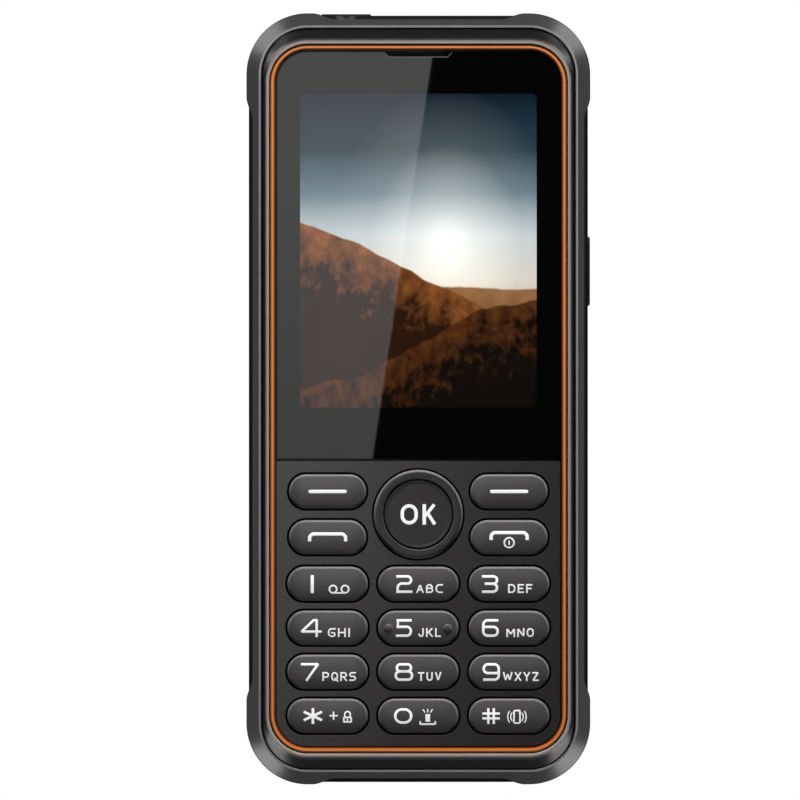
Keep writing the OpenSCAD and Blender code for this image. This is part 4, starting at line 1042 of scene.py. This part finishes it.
# Figures with their left edge and width, and words with their left and right edges, from the key's middle
FIGURES = {"key_1": ("1", -3.2, 0.75), "key_2": ("2", -4.04, 2.94), "key_3": ("3", -4.98, 3.0),
           "key_4": ("4", -5.0, 3.9), "key_5": ("5", -4.13, 3.0), "key_6": ("6", -4.98, 3.14),
           "key_7": ("7", -4.89, 3.35), "key_8": ("8", -4.4, 3.5), "key_9": ("9", -4.91, 3.25),
           "key_star": ("*", -4.4, 3.4), "key_0": ("0", -4.48, 3.4), "key_hash": ("#", -4.91, 3.2)}
WORDS = {"key_2": ("ABC", -0.37, 4.5), "key_3": ("DEF", -0.19, 4.27), "key_4": ("GHI", 0.04, 4.17),
         "key_5": ("JKL", 0.0, 4.13), "key_6": ("MNO", -0.5, 4.54), "key_7": ("PQRS", -0.97, 5.2),
         "key_8": ("TUV", -0.09, 4.22), "key_9": ("WXYZ", -1.14, 5.46)}
# Each path of a legend: its points, half the width of its stroke, and the rounding of its turns
legends = {}
for name, (figure, left, width) in FIGURES.items():
    stroke = {"1": 0.58, "4": 0.43, "7": 0.45, "#": 0.42}.get(figure, 0.48)
    foot, height = (-1.5, 2.9) if figure in "*0#" else (-1.7, 3.3)
    bend = {"4": 0.06, "7": 0.06, "0": 1.2}.get(figure, 0.8)
    legends[name] = sign(STROKES[figure], left, foot, width, height, stroke, bend)
for name, (letters, left, right) in WORDS.items():
    legends[name] += word(letters, left, right, -1.7, 1.65, 0.29, 0.55)
legends["key_1"] += [(arc(1.0, -1.0, 0.68), 0.15, 0), (arc(3.2, -1.0, 0.68), 0.15, 0),
                     ([(1.0, -1.68), (3.2, -1.68)], 0.15, 0)]
legends["key_star"] += sign(STROKES["+"], 0.35, -0.75, 1.5, 1.5, 0.28, 0)
legends["key_star"] += [([(2.95, -1.15), (4.35, -1.15)], 0.15, 0), ([(2.95, -0.3), (4.35, -0.3)], 0.15, 0),
                        ([(2.98, -1.2), (2.98, -0.3)], 0.15, 0), ([(4.32, -1.2), (4.32, -0.3)], 0.15, 0),
                        ([(3.65, -0.95), (3.65, -0.5)], 0.14, 0),
                        ([(3.15, -0.3), (3.15, 0.75), (4.15, 0.75), (4.15, -0.3)], 0.13, 0.45)]
legends["key_0"] += [([(0.35, -1.0), (0.35, -1.55), (3.1, -1.55), (3.1, -1.0)], 0.16, 0.1),
                     ([(1.72, -1.1), (1.72, 0.3)], 0.42, 0), ([(1.72, 0.6), (1.72, 1.25)], 0.1, 0),
                     ([(1.2, 0.6), (0.85, 1.2)], 0.1, 0), ([(2.24, 0.6), (2.6, 1.2)], 0.1, 0)]
legends["key_hash"].append(([(0.9, -1.35), (2.0, -1.35), (2.0, 0.95), (0.9, 0.95), (0.9, -1.35)], 0.15, 0.25))
for radius, half_turn in ((1.15, 42), (1.7, 38)):
    for turn in (0, 180):
        wave = arc(1.45, -0.2, radius, turn - half_turn, turn + half_turn, 10)
        legends["key_hash"].append((wave, 0.11, 0))
for name in ("soft_key_left", "soft_key_right"):
    legends[name] = [([(-3.2, 0), (3.2, 0)], 0.33, 0), (arc(-3.2, 0, 0.1, 90, 270, 6), 0.23, 0)]
    legends[name].append((arc(3.2, 0, 0.1, -90, 90, 6), 0.23, 0))
handset = [(-3.3, -0.75), (-3.3, 0.1), (-2.8, 0.6), (2.8, 0.6), (3.3, 0.1), (3.3, -0.75)]
legends["call_key"] = [(handset, 0.3, 0.5)]
legends["end_key"] = [([(x, z + 0.25) for x, z in handset], 0.3, 0.5), (arc(0, -1.0, 0.9), 0.15, 0),
                      ([(0, -1.4), (0, -0.6)], 0.14, 0)]
legends["ok_key"] = sign(STROKES["O"], -3.28, -1.88, 3.2, 3.76, 0.66, 1.26)
legends["ok_key"] += sign(STROKES["K"], 0.76, -1.88, 2.4, 3.76, 0.64, 0)

white_ink = moulding("legend_white", (0.80, 0.80, 0.79), 0.5, scale=5000.0, vary=0.02, specular=0.3)
ink_shader = white_ink.node_tree.nodes["Principled BSDF"]
ink_shader.inputs["Emission Color"].default_value = (1, 1, 1, 1)
ink_shader.inputs["Emission Strength"].default_value = 0.2
strokes_tree = legend_tree()
caps["ok_key"] = (0, NAV_Z, 1.0, 1.0)
knot_gap = 0.3
for name, paths in legends.items():
    x, z, width, height = caps[name]
    points = []
    edges = []
    widths = []
    turns = []
    for spots, half, turn in paths:
        first = len(points)
        ring = math.dist(spots[0], spots[-1]) < 0.001
        for spot, after in zip(spots, spots[1:]):
            points.append((x + spot[0], 0, z + spot[1]))
            turns.append(turn * MM)
            run = math.dist(spot, after)
            knots = int((run - 2 * turn) / knot_gap)
            for i in range(knots):
                share = (turn + (run - 2 * turn) * (i + 0.5) / knots) / run
                between = Vector(spot).lerp(Vector(after), share)
                points.append((x + between.x, 0, z + between.y))
                turns.append(0)
        if not ring:
            points.append((x + spots[-1][0], 0, z + spots[-1][1]))
            turns.append(0)
        edges += [(i, i + 1) for i in range(first, len(points) - 1)]
        if ring:
            edges.append((len(points) - 1, first))
        widths += [half * MM] * (len(points) - first)
    legend = loose(name + "_legend", points, edges)
    put_values(legend.data, "stroke", widths)
    put_values(legend.data, "round", turns)
    base, bend = (OK_FACE, 0.0) if name == "ok_key" else (CROWN, BEND)
    values = {"Ink": white_ink, "Centre": (x * MM, 0, z * MM), "Reach": (width - height) / 2 * MM,
              "Base": base * MM - 0.00001, "Bend": bend / MM}
    grown(legend, strokes_tree, values)
    dress(legend, white_ink, name)


# Side key: a slim rubber bar that comes through a slot in the right wall and works one switch.
# Its rim is rounded, and a flange behind the wall keeps it in.
bar_stages = [(0.7, 28.3), (0.7, 28.8), (0.0, 28.8), (0.0, 31.2), (-0.08, 31.36), (-0.25, 31.45),
              (-0.6, 31.48)]
side_key = loft("side_key_bar", [side_pill(x, 12.7, 4.0, grow) for grow, x in bar_stages], capped=True)
side_nub = loft("nub", [side_pill(x, 1.6, 1.6, turn=12) for x in (27.95, 28.3)], capped=True)
join(side_key, [side_nub])
key_black = moulding("side_key_finish", (0.008, 0.008, 0.008), 0.45, scale=5000.0, vary=0.15)
dress(side_key, key_black, "side_key", ["side_key"])


# Port flap: a rubber lid in the top wall with a round rear end that it turns on, and a plug for the socket.
# It stands a little proud, so a nail in the scoop in front of it lifts it.
flap_section = [(-3.6, 139.98, 0.25), (-3.6, 141.28, 0.3), (2.0, 141.28, 0.6), (2.0, 139.98, 0.6)]
flap_points = soften(flap_section, 6)
FLAP_Z = 140.63
flap_half = (2.8, 0.65)
flap_rings = []
for inset, x in ((0.22, -4.55), (0.08, -4.49), (0.0, -4.33), (0.0, 4.33), (0.08, 4.49), (0.22, 4.55)):
    slim, low = [1 - inset / half for half in flap_half]
    flap_rings.append([(PORT_X + x, OPENING_Y + (y - OPENING_Y) * slim, FLAP_Z + (z - FLAP_Z) * low)
                       for y, z in flap_points])
flap = loft("port_flap", flap_rings, capped=True, sharp=50)
plug_stages = ((-0.15, 139.38), (0, 139.5), (0, 140.0))
plug = loft("plug", [top_pill(z, PORT_X, 7.8, 2.0, grow) for grow, z in plug_stages], capped=True)
join(flap, [plug])
flap_black = moulding("flap_finish", (0.006, 0.006, 0.006), 0.5, scale=5000.0, vary=0.15)
dress(flap, flap_black, "port_cover", ["port_cover"])


# Key mat: a silicone web behind the caps, a soft plate that the ring rocks on, and steel snap domes.
# The web's rim is held between the bezel and the board, and each dome is taped under a plunger.
def coat(name, finish):
    """A finish on a CAD node that keeps its own shape."""
    nodes[name].material_slots[0].material = finish


mat_grey = moulding("mat_silicone", (0.30, 0.30, 0.29), 0.6, scale=3000.0, pits=0.00001, vary=0.06,
                    specular=0.35)
coat("keypad_web", mat_grey)
coat("nav_rocker_plate", mat_grey)
coat("key_domes", metal("dome_steel", (0.62, 0.57, 0.45), 0.28, (3000.0, 3000.0, 3000.0)))


# Display: a thin bright tray in a frame of black foam, with a ribbon of amber film to the board.
# The foam is bonded to the window, and the ribbon carries rows of copper lines.
coat("display_module", metal("tray_steel", (0.55, 0.56, 0.57), 0.32))
foam = moulding("foam_black", (0.012, 0.012, 0.012), 0.95, scale=2600.0, pits=0.00008, vary=0.4, specular=0.1)
coat("display_cushion", foam)


def printed(finish, mask, colour, gilt=False):
    """Prints a colour over a finish where the mask is 1, as bare metal if it is gilt."""
    tree = finish.node_tree
    shader = tree.nodes["Principled BSDF"]
    under = shader.inputs["Base Color"].links[0].from_socket
    tree.links.new(blend(tree, mask, under, (*colour, 1)), shader.inputs["Base Color"])
    if gilt:
        tree.links.new(mask, shader.inputs["Metallic"])


ribbon = moulding("ribbon_amber", (0.36, 0.13, 0.02), 0.35, scale=4000.0, pits=0.000006, vary=0.08)
rows = node(ribbon.node_tree, "ShaderNodeTexWave", [("Vector", place_on(ribbon.node_tree)), ("Scale", 600.0)],
            bands_direction="X")
printed(ribbon, rows.outputs["Fac"], (0.50, 0.20, 0.06))
coat("display_flex", ribbon)


# Main board: glass-filled laminate under green resist, with copper lines and gilt pads.
# Pan-headed screws hold it to the frame's tubes, and its parts are soldered on both faces.
resist = moulding("board_resist", (0.006, 0.055, 0.022), 0.35, scale=5000.0, pits=0.000005, vary=0.2)
resist_tree = resist.node_tree
board_place = axes(resist_tree, place_on(resist_tree))
board_flat = node(resist_tree, "ShaderNodeCombineXYZ", [("X", board_place["X"]), ("Y", board_place["Z"])])
runs = node(resist_tree, "ShaderNodeTexBrick",
            [("Vector", board_flat.outputs[0]), ("Scale", 700.0), ("Mortar Size", 0.06)])
vias = node(resist_tree, "ShaderNodeTexVoronoi", [("Vector", board_flat.outputs[0]), ("Scale", 420.0)])
pads = carried(resist_tree, vias.outputs["Distance"], (0.16, 0.13))
printed(resist, runs.outputs["Fac"], (0.02, 0.12, 0.04))
printed(resist, pads, (0.65, 0.45, 0.15), gilt=True)
coat("main_board", resist)

tin = metal("tin_plate", (0.60, 0.61, 0.62), 0.3)
for name in ("shield_cans", "usb_socket", "vibration_motor", "card_sockets"):
    coat(name, tin)
part_black = moulding("part_black", (0.012, 0.012, 0.0125), 0.45, scale=4200.0, pits=0.000012)
for name in ("earpiece_receiver", "side_switch", "loudspeaker", "camera_module"):
    coat(name, part_black)
coat("microphone", metal("gilt_can", (0.72, 0.55, 0.24), 0.25))
pin_block = moulding("pin_block", (0.012, 0.012, 0.0125), 0.45, scale=4200.0, pits=0.000012)
pin_tree = pin_block.node_tree
pin_place = axes(pin_tree, place_on(pin_tree))
PIN_TOP = 101.54
printed(pin_block, sums(pin_tree, "LESS_THAN", pin_place["Z"], PIN_TOP * MM), (0.72, 0.52, 0.2), gilt=True)
coat("battery_connector", pin_block)


SCREW_SIZES = ("Head Radius", "Head Height", "Shank Radius", "Shank Length", "Recess Radius", "Recess Depth",
               "Edge")


def screw_tree():
    """A hex-socket screw on every point: the head's top lies on the point, and each is turned at random."""
    tree, start = shape_tree("screw_set", [(label, "Float") for label in SCREW_SIZES]
                             + [("Facing", "Vector"), ("Steel", "Material")])
    sizes = [start[label] for label in SCREW_SIZES]
    head, head_height, shank, shank_length, recess, recess_depth, edge = sizes

    def lower(shape, drop):
        down = node(tree, "ShaderNodeCombineXYZ", [("Z", sums(tree, "MULTIPLY", drop, -1.0))])
        moved = node(tree, "GeometryNodeTransform", [("Geometry", shape), ("Translation", down.outputs[0])])
        return moved.outputs[0]

    def wall(top, bottom, depth, count):
        cone = node(tree, "GeometryNodeMeshCone", [("Vertices", count), ("Radius Top", top),
                                                   ("Radius Bottom", bottom), ("Depth", depth)],
                    fill_type="NONE")
        return cone.outputs["Mesh"]

    def disc(radius, count):
        return node(tree, "GeometryNodeMeshCircle", [("Vertices", count), ("Radius", radius)],
                    fill_type="NGON").outputs[0]

    def gathered(shapes):
        whole = node(tree, "GeometryNodeJoinGeometry")
        for shape in shapes:
            tree.links.new(shape, whole.inputs[0])
        return whole.outputs[0]

    brow = sums(tree, "SUBTRACT", head, edge)
    loops = gathered([circle(tree, 36, brow), circle(tree, 6, recess)])
    top = node(tree, "GeometryNodeFillCurve", [("Curve", loops)], mode="TRIANGLES").outputs[0]
    side_height = sums(tree, "SUBTRACT", head_height, edge)
    length = sums(tree, "ADD", shank_length, sums(tree, "MULTIPLY", head_height, 0.3))
    rod = node(tree, "GeometryNodeMeshCylinder", [("Vertices", 20), ("Radius", shank), ("Depth", length)],
               fill_type="NGON").outputs["Mesh"]
    rod_top = sums(tree, "MULTIPLY", head_height, 0.7)
    rod_drop = sums(tree, "ADD", rod_top, sums(tree, "MULTIPLY", length, 0.5))
    whole = gathered([top, lower(wall(brow, head, edge, 36), edge),
                      lower(wall(head, head, side_height, 36), head_height),
                      lower(disc(head, 36), head_height),
                      lower(wall(recess, recess, recess_depth, 6), recess_depth),
                      lower(disc(recess, 6), recess_depth), lower(rod, rod_drop)])
    merged = node(tree, "GeometryNodeMergeByDistance", [("Geometry", whole), ("Distance", 0.000002)])
    facing = node(tree, "GeometryNodeTransform",
                  [("Geometry", merged.outputs[0]), ("Rotation", start["Facing"])])
    spin = node(tree, "FunctionNodeRandomValue",
                [("Min", (0.0, 0.0, 0.0)), ("Max", (0.0, 1.05, 0.0)), ("Seed", 5)], data_type="FLOAT_VECTOR")
    spots = node(tree, "GeometryNodeMeshToPoints", [("Mesh", start["Geometry"])])
    placed = node(tree, "GeometryNodeInstanceOnPoints",
                  [("Points", spots.outputs[0]), ("Instance", facing.outputs[0]),
                   ("Rotation", spin.outputs["Value"])])
    return end_tree(tree, placed.outputs[0], start["Steel"])


SCREWS = screw_tree()


def screws(name, spots, sizes, back, steel):
    """A set of screws at points of their head tops: sizes are head, shank and recess, radius then length."""
    values = {label: size * MM for label, size in zip(SCREW_SIZES, (*sizes, 0.12))}
    values["Facing"] = (math.radians(-90 if back else 90), 0.0, 0.0)
    values["Steel"] = steel
    piece = grown(loose(name, spots, []), SCREWS, values)
    work = bmesh.new()
    work.from_mesh(piece.data)
    bmesh.ops.recalc_face_normals(work, faces=work.faces)
    work.to_mesh(piece.data)
    work.free()
    shade(piece.data, 30)
    return piece


zinc = metal("screw_zinc", (0.48, 0.48, 0.50), 0.3, (2600.0, 2600.0, 2600.0))
board_spots = [(x, -4.1, z) for x in (-BOSS_X, BOSS_X) for z in BOSS_Z[1:]]
board_screws = screws("board_screw_set", board_spots, (1.4, 0.7, 0.8, 3.2, 0.7, 0.45), back=False, steel=zinc)
dress(board_screws, zinc, "phone", ["board_screws"])


# Back shell: a moulded plate with the battery bay, let into the frame on a square seal.
# Its edges are slightly rounded, and six socket screws pull it on to the frame's tubes.
def eased(name, source, width):
    """A merged copy of a CAD node with its sharp edges broken by a small round."""
    work = bmesh.new()
    work.from_mesh(nodes[source].data)
    bmesh.ops.remove_doubles(work, verts=work.verts, dist=0.000002)
    bmesh.ops.dissolve_limit(work, angle_limit=math.radians(1), verts=work.verts, edges=work.edges)
    mesh = bpy.data.meshes.new(name)
    work.to_mesh(mesh)
    work.free()
    if "custom_normal" in mesh.attributes:
        mesh.attributes.remove(mesh.attributes["custom_normal"])
    piece = add_to_scene(name, mesh)
    edge = piece.modifiers.new("edge", "BEVEL")
    edge.width = width * MM
    edge.segments = 2
    edge.limit_method = "ANGLE"
    edge.angle_limit = math.radians(40)
    baked(piece)
    shade(piece.data, 20)
    return piece


back_black = moulding("back_finish", (0.014, 0.014, 0.0145), 0.5, scale=2200.0, pits=0.00004, vary=0.12,
                      specular=0.4)
back_shell = eased("back_shell", "rear_housing", 0.12)
dress(back_shell, back_black, "phone", ["rear_housing"])
seal_black = moulding("seal_rubber", (0.006, 0.006, 0.006), 0.65, scale=4200.0, pits=0.00001, specular=0.25)
coat("rear_seal", seal_black)
oxide = metal("screw_oxide", (0.16, 0.16, 0.165), 0.3, (2600.0, 2600.0, 2600.0))
back_spots = [(x, 8.4, z) for x in (-BOSS_X, BOSS_X) for z in BOSS_Z]
back_screws = screws("back_screw_set", back_spots, (1.75, 0.9, 0.8, 5.2, 0.85, 0.5), back=True, steel=oxide)
dress(back_screws, oxide, "phone", ["housing_screws"])


# Loudspeaker mesh: a sheet of woven steel wire behind the sound holes, held by the loudspeaker.
# Each wire goes over one and under the next.
def weave(width, height, corner, pitch, middle, deep, sway):
    """Paths of wires woven both ways inside an upright rounded rectangle."""
    paths = []
    counts = [int(width / pitch) // 2, int(height / pitch) // 2]
    halves = [width / 2, height / 2]
    for way in (0, 1):
        for i in range(-counts[way], counts[way] + 1):
            off = i * pitch
            past = max(abs(off) - (halves[way] - corner), 0)
            reach = halves[1 - way] - corner + math.sqrt(max(corner * corner - past * past, 0)) - 0.06
            path = []
            for j in range(-counts[1 - way] - 1, counts[1 - way] + 2):
                along = min(max(j * pitch, -reach), reach)
                if path and abs(along - path[-1][0]) < 0.02:
                    continue
                path.append((along, sway if (i + j + way) % 2 else -sway))
            if way == 0:
                paths.append([(off, deep + bend, middle + along) for along, bend in path])
            else:
                paths.append([(along, deep + bend, middle + off) for along, bend in path])
    return paths


bright_steel = metal("weave_steel", (0.34, 0.34, 0.35), 0.3, (6000.0, 6000.0, 6000.0))
sound_wires = weave(width=16, height=11, corner=1.5, pitch=0.45, middle=17.2, deep=6.6, sway=0.05)
sound_mesh = grown(strung("sound_mesh", sound_wires), grille_wires,
                   {"Radius": 0.05 * MM, "Metal": bright_steel})
dress(sound_mesh, bright_steel, "phone", ["speaker_mesh"])


# Camera: a black barrel with a coated lens, under a round glass that is printed black round the view.
# The glass is bonded into a step of the back shell.
CAMERA_Z = 120.0
glass_section = [(3.85, 7.6), (4.0, 7.68), (4.0, 8.24), (3.97, 8.31), (3.91, 8.37), (3.82, 8.4)]
camera_glass = turned("camera_glass", glass_section, CAMERA_Z, steps=64, sharp=30, solid=True)
dress(camera_glass, clear, "phone", ["camera_window"])
print_rims = [fixed(pill(0, CAMERA_Z, wide, wide, turn=32)) for wide in (7.8, 3.6)]
camera_print = plate("camera_print", print_rims, 7.63, 7.67, 0.0)
dress(camera_print, ink_black, "phone")
dome = [(1.3, 7.12), (1.29, 7.18), (1.22, 7.26), (1.05, 7.33), (0.8, 7.38), (0.5, 7.415), (0.2, 7.43)]
lens = turned("camera_lens", dome, CAMERA_Z, steps=48, solid=True)
coated, coated_tree, coated_shader = bare_finish("lens_coating", [("Roughness", 0.06), ("Coat Weight", 1.0)])
from_axis = node(coated_tree, "ShaderNodeVectorMath",
                 [(0, place_on(coated_tree)), (1, (0.0, 7.45 * MM, CAMERA_Z * MM))], operation="DISTANCE")
# The lens's colour by distance from its axis: a dark middle painted as the shade inside the barrel, and a
# purple ring painted as a reflection off the coating
pupil_and_glint = ramp(coated_tree, sums(coated_tree, "MULTIPLY", from_axis.outputs["Value"], 700.0),
             [(0.0, (0.002, 0.002, 0.003)), (0.4, (0.004, 0.003, 0.008)), (0.6, (0.02, 0.012, 0.06)),
              (0.95, (0.004, 0.006, 0.02))])
coated_tree.links.new(pupil_and_glint, coated_shader.inputs["Base Color"])
dress(lens, coated, "phone")


# Lamp: a yellow phosphor chip behind a clear lens with ring grooves, bonded beside the camera.
# The grooves spread its light.
LAMP_X = 9.5
lamp_section = [(1.7, 7.2), (1.8, 7.28), (1.8, 8.3), (1.74, 8.4), (1.55, 8.4)]
for step in range(5):
    radius = 1.5 - 0.27 * step
    lamp_section += [(radius, 8.3), (radius - 0.2, 8.38)]
lamp_lens = turned("lamp_lens", lamp_section, CAMERA_Z, steps=48, sharp=25, solid=True, x=LAMP_X)
frosted_levels = [("Transmission Weight", 1.0), ("IOR", 1.49)]
frosted, frosted_tree, frosted_shader = bare_finish("lamp_clear", frosted_levels)
haze = noise(frosted_tree, place_on(frosted_tree), 2500.0)
frosted_tree.links.new(carried(frosted_tree, haze, end=(0.05, 0.2)), frosted_shader.inputs["Roughness"])
dress(lamp_lens, frosted, "phone", ["flash_lens"])
coat("flash_led", moulding("phosphor", (0.80, 0.62, 0.10), 0.6, scale=7000.0, pits=0.00002, vary=0.15))


# Antenna carrier: a tan moulding across the foot of the back shell, with three pockets.
# Its antenna is plated on to it.
carrier_tan = moulding("carrier_tan", (0.46, 0.30, 0.13), 0.5, scale=3600.0, pits=0.000015, vary=0.1)
coat("antenna_carrier", carrier_tan)


# Battery: a flat cell in a dark printed wrap with a plain pale label and three gilt contacts.
# It drops into the bay, with its contacts against the sprung pins.
wrap = moulding("battery_wrap", (0.018, 0.020, 0.026), 0.4, scale=3800.0, pits=0.000006, vary=0.1)
wrap_tree = wrap.node_tree
BATTERY_Z = 69.1
from_middle = node(wrap_tree, "ShaderNodeMapping",
                   [("Vector", place_on(wrap_tree)), ("Location", (0.0, 0.0, -BATTERY_Z * MM))])
cell = axes(wrap_tree, from_middle.outputs[0])


def within(*tests):
    """A mask over the wrap that is 1 where all tests hold: a place, how it compares, and a limit in mm."""
    mask = 1.0
    for place, compare, limit in tests:
        mask = sums(wrap_tree, "MULTIPLY", mask, sums(wrap_tree, compare, place, limit * MM))
    return mask


aside = sums(wrap_tree, "ABSOLUTE", cell["X"])
above = sums(wrap_tree, "ABSOLUTE", sums(wrap_tree, "ADD", cell["Z"], 6 * MM))
from_outer_pad = sums(wrap_tree, "ABSOLUTE", sums(wrap_tree, "SUBTRACT", aside, 3 * MM))
from_pad = sums(wrap_tree, "MINIMUM", aside, from_outer_pad)
in_label = within((aside, "LESS_THAN", 16.5), (above, "LESS_THAN", 19), (cell["Y"], "GREATER_THAN", 6.2))
in_stripe = within((cell["Z"], "GREATER_THAN", 20), (cell["Z"], "LESS_THAN", 23.5))
in_pad = within((from_pad, "LESS_THAN", 0.9), (cell["Z"], "GREATER_THAN", 31.95))
printed(wrap, in_label, (0.55, 0.55, 0.53))
printed(wrap, in_stripe, (0.48, 0.16, 0.04))
printed(wrap, in_pad, (0.72, 0.52, 0.2), gilt=True)
coat("battery", wrap)


# Battery cover: a moulded lid with grip grooves, sealed by an orange gasket and held by four captive screws.
# It lifts off backwards with its gasket and screws.
door = eased("battery_door_shell", "battery_cover", 0.12)
door_black = moulding("door_finish", (0.012, 0.012, 0.0125), 0.46, scale=2200.0, pits=0.00004, vary=0.12,
                      specular=0.4)
dress(door, door_black, "battery_door", ["battery_cover"])
gasket_orange = moulding("gasket_orange", (0.36, 0.10, 0.02), 0.55, scale=4200.0, pits=0.00001, vary=0.08)
coat("cover_gasket", gasket_orange)
door_spots = [(x, 8.3, BATTERY_Z + up) for x in (-20.9, 20.9) for up in (-34.8, 34.8)]
door_screws = screws("door_screw_set", door_spots, (1.5, 0.8, 0.7, 2.0, 0.75, 0.4), back=True, steel=oxide)
dress(door_screws, oxide, "battery_door", ["cover_screws"])


# Stage: a pale floor, a plain white surround and soft lamps, with a straight-on view from the front.
# A dark wall behind the viewer and one lit panel on it give the glass its slanted reflection.
floor = mesh_piece("floor", [(-900, -900, -0.1), (900, -900, -0.1), (900, 900, -0.1), (-900, 900, -0.1)],
                   [(0, 1, 2, 3)])
floor_levels = [("Base Color", (0.8, 0.8, 0.8, 1)), ("Roughness", 0.7)]
white, white_tree, white_shader = bare_finish("floor_white", floor_levels)
off_middle = node(white_tree, "ShaderNodeVectorMath", [(0, place_on(white_tree))], operation="LENGTH")
far_off = carried(white_tree, off_middle.outputs["Value"], (0.07, 0.2), kind="SMOOTHSTEP")
bare = node(white_tree, "ShaderNodeEmission", [("Color", (1, 1, 1, 1)), ("Strength", 1.0)])
faded = node(white_tree, "ShaderNodeMixShader",
             [(0, far_off), (1, white_shader.outputs[0]), (2, bare.outputs[0])])
white_tree.links.new(faded.outputs[0], white_tree.nodes["Material Output"].inputs["Surface"])
floor.data.materials.append(white)
floor.visible_diffuse = False
floor.visible_glossy = False
floor.visible_transmission = False

surround = bpy.data.worlds.new("surround")
bpy.context.scene.world = surround
surround.use_nodes = True
sky_tree = surround.node_tree
sky_tree.nodes.clear()
rays = node(sky_tree, "ShaderNodeLightPath")
seen = sums(sky_tree, "MAXIMUM", rays.outputs["Is Camera Ray"], rays.outputs["Is Glossy Ray"])
seen = sums(sky_tree, "MAXIMUM", seen, rays.outputs["Is Transmission Ray"])
soft = node(sky_tree, "ShaderNodeBackground", [("Color", (0.12, 0.12, 0.12, 1)), ("Strength", 1.0)])
plain = node(sky_tree, "ShaderNodeBackground", [("Color", (1.0, 1.0, 1.0, 1)), ("Strength", 1.0)])
both = node(sky_tree, "ShaderNodeMixShader", [(0, seen), (1, soft.outputs[0]), (2, plain.outputs[0])])
node(sky_tree, "ShaderNodeOutputWorld", [("Surface", both.outputs[0])])


def card(name, points, faces, level, fade=None, lights=None, through=False):
    """A bright or dark sheet round the phone that only reflections see, on some pieces or on all.

    Fade is the heights between which it falls to a share of its level. With through, reflections from
    behind glass see it too.
    """
    made = mesh_piece(name, points, faces)
    paint, tree, _ = bare_finish(name + "_paint")
    tree.nodes.clear()
    lit = node(tree, "ShaderNodeEmission", [("Color", (1, 0.985, 0.965, 1)), ("Strength", level)])
    if fade:
        low, high, share = fade
        height = axes(tree, place_on(tree))["Z"]
        falling = carried(tree, height, (low * MM, high * MM), (level * share, level))
        tree.links.new(falling, lit.inputs["Strength"])
    node(tree, "ShaderNodeOutputMaterial", [("Surface", lit.outputs[0])])
    made.data.materials.append(paint)
    made.visible_camera = False
    made.visible_diffuse = False
    made.visible_shadow = False
    made.visible_transmission = through
    if lights:
        chosen = bpy.data.collections.new(name + "_lights")
        for piece in lights:
            chosen.objects.link(piece)
        made.light_linking.receiver_collection = chosen


def upright(corners, deep):
    """Points of a sheet that stands at a depth."""
    return [(x, deep, z) for x, z in corners]


def strip(turn, spread, tilts, far):
    """Points of a bent strip at a distance: its turn about the view, and its tilts off the view."""
    points = []
    for tilt in tilts:
        for side in (-spread, spread):
            ring = math.radians(turn + side)
            lean = math.radians(tilt)
            points.append((far * math.sin(lean) * math.cos(ring), -far * math.cos(lean),
                           MID_Z + far * math.sin(lean) * math.sin(ring)))
    faces = [(i, i + 1, i + 3, i + 2) for i in range(0, len(points) - 2, 2)]
    return points, faces


card("dark_wall", upright([(-900, -900), (900, -900), (900, 900), (-900, 900)], -700), [(0, 1, 2, 3)], 0.02,
     through=True)
veil = upright([(-17.3, 0), (2.93, 136), (4, 180), (-46, 180), (-46, 0)], -150)
card("lit_panel", veil, [(0, 1, 2, 3, 4)], 1.85, fade=(40, 110, 0.62), through=True)
card("key_strip", *strip(90, 35, (64, 70, 76), 500), 8.0, lights=key_faces)
for turn in (30, 150):
    card("key_strip_%d" % turn, *strip(turn, 24, (62, 70, 78), 500), 4.0, lights=key_faces)
for turn in (45, 135, 225, 315):
    card("corner_strip_%d" % turn, *strip(turn, 16, (36, 50, 65, 80, 95, 104), 640), 6.7,
         lights=[bumper, bezel])
for turn in range(216, 325, 36):
    card("low_flag_%d" % turn, *strip(turn, 18, (50, 60, 70, 80), 760), 0.45)
for turn in (72, 108):
    card("high_flag_%d" % turn, *strip(turn, 18, (50, 56, 62), 760), 0.02)
card("key_glow", *strip(90, 50, (16, 20, 24, 28), 420), 1.0, lights=key_faces[:16])
for turn in (0, 180):
    card("side_flag_%d" % turn, *strip(turn, 30, (34, 44, 52), 690), 0.25, lights=[bezel])
for turn in range(0, 360, 40):
    card("rear_flag_%d" % turn, *strip(turn, 20, (104, 120, 136, 152, 168), 760), 0.02)


def lamp(name, place, aim, size, power):
    """A soft lamp that is turned to its aim."""
    light = bpy.data.lights.new(name, "AREA")
    light.shape = "RECTANGLE"
    light.size, light.size_y = size
    light.energy = power
    thing = add_to_scene(name, light)
    thing.location = place
    thing.rotation_euler = (Vector(aim) - Vector(place)).to_track_quat("-Z", "Y").to_euler()
    thing.visible_glossy = False


centre = (0, 0, MID_Z * MM)
lamp("top_softbox", (0.12, -0.26, 0.81), centre, (0.8, 0.4), 19.5)
lamp("rear_softbox", (0.2, 0.65, 0.5), centre, (0.6, 0.5), 17.0)

# Pixels of the picture: its width, the middle and foot of the phone in it, and the pixels to a millimetre
PICTURE = 800
PHONE_MIDDLE = 418.35
PHONE_FOOT = 784.15
PIXELS = 5.45
eye = bpy.data.cameras.new("eye")
eye.type = "ORTHO"
eye.ortho_scale = PICTURE / PIXELS * MM
eye_place = add_to_scene("eye", eye)
eye_x = (PICTURE / 2 - PHONE_MIDDLE) / PIXELS
eye_z = (PHONE_FOOT - PICTURE / 2) / PIXELS
eye_place.location = (eye_x * MM, -1.2, eye_z * MM)
eye_place.rotation_euler = (math.radians(90), 0, 0)
bpy.context.scene.camera = eye_place
bpy.context.scene.view_settings.view_transform = "Standard"
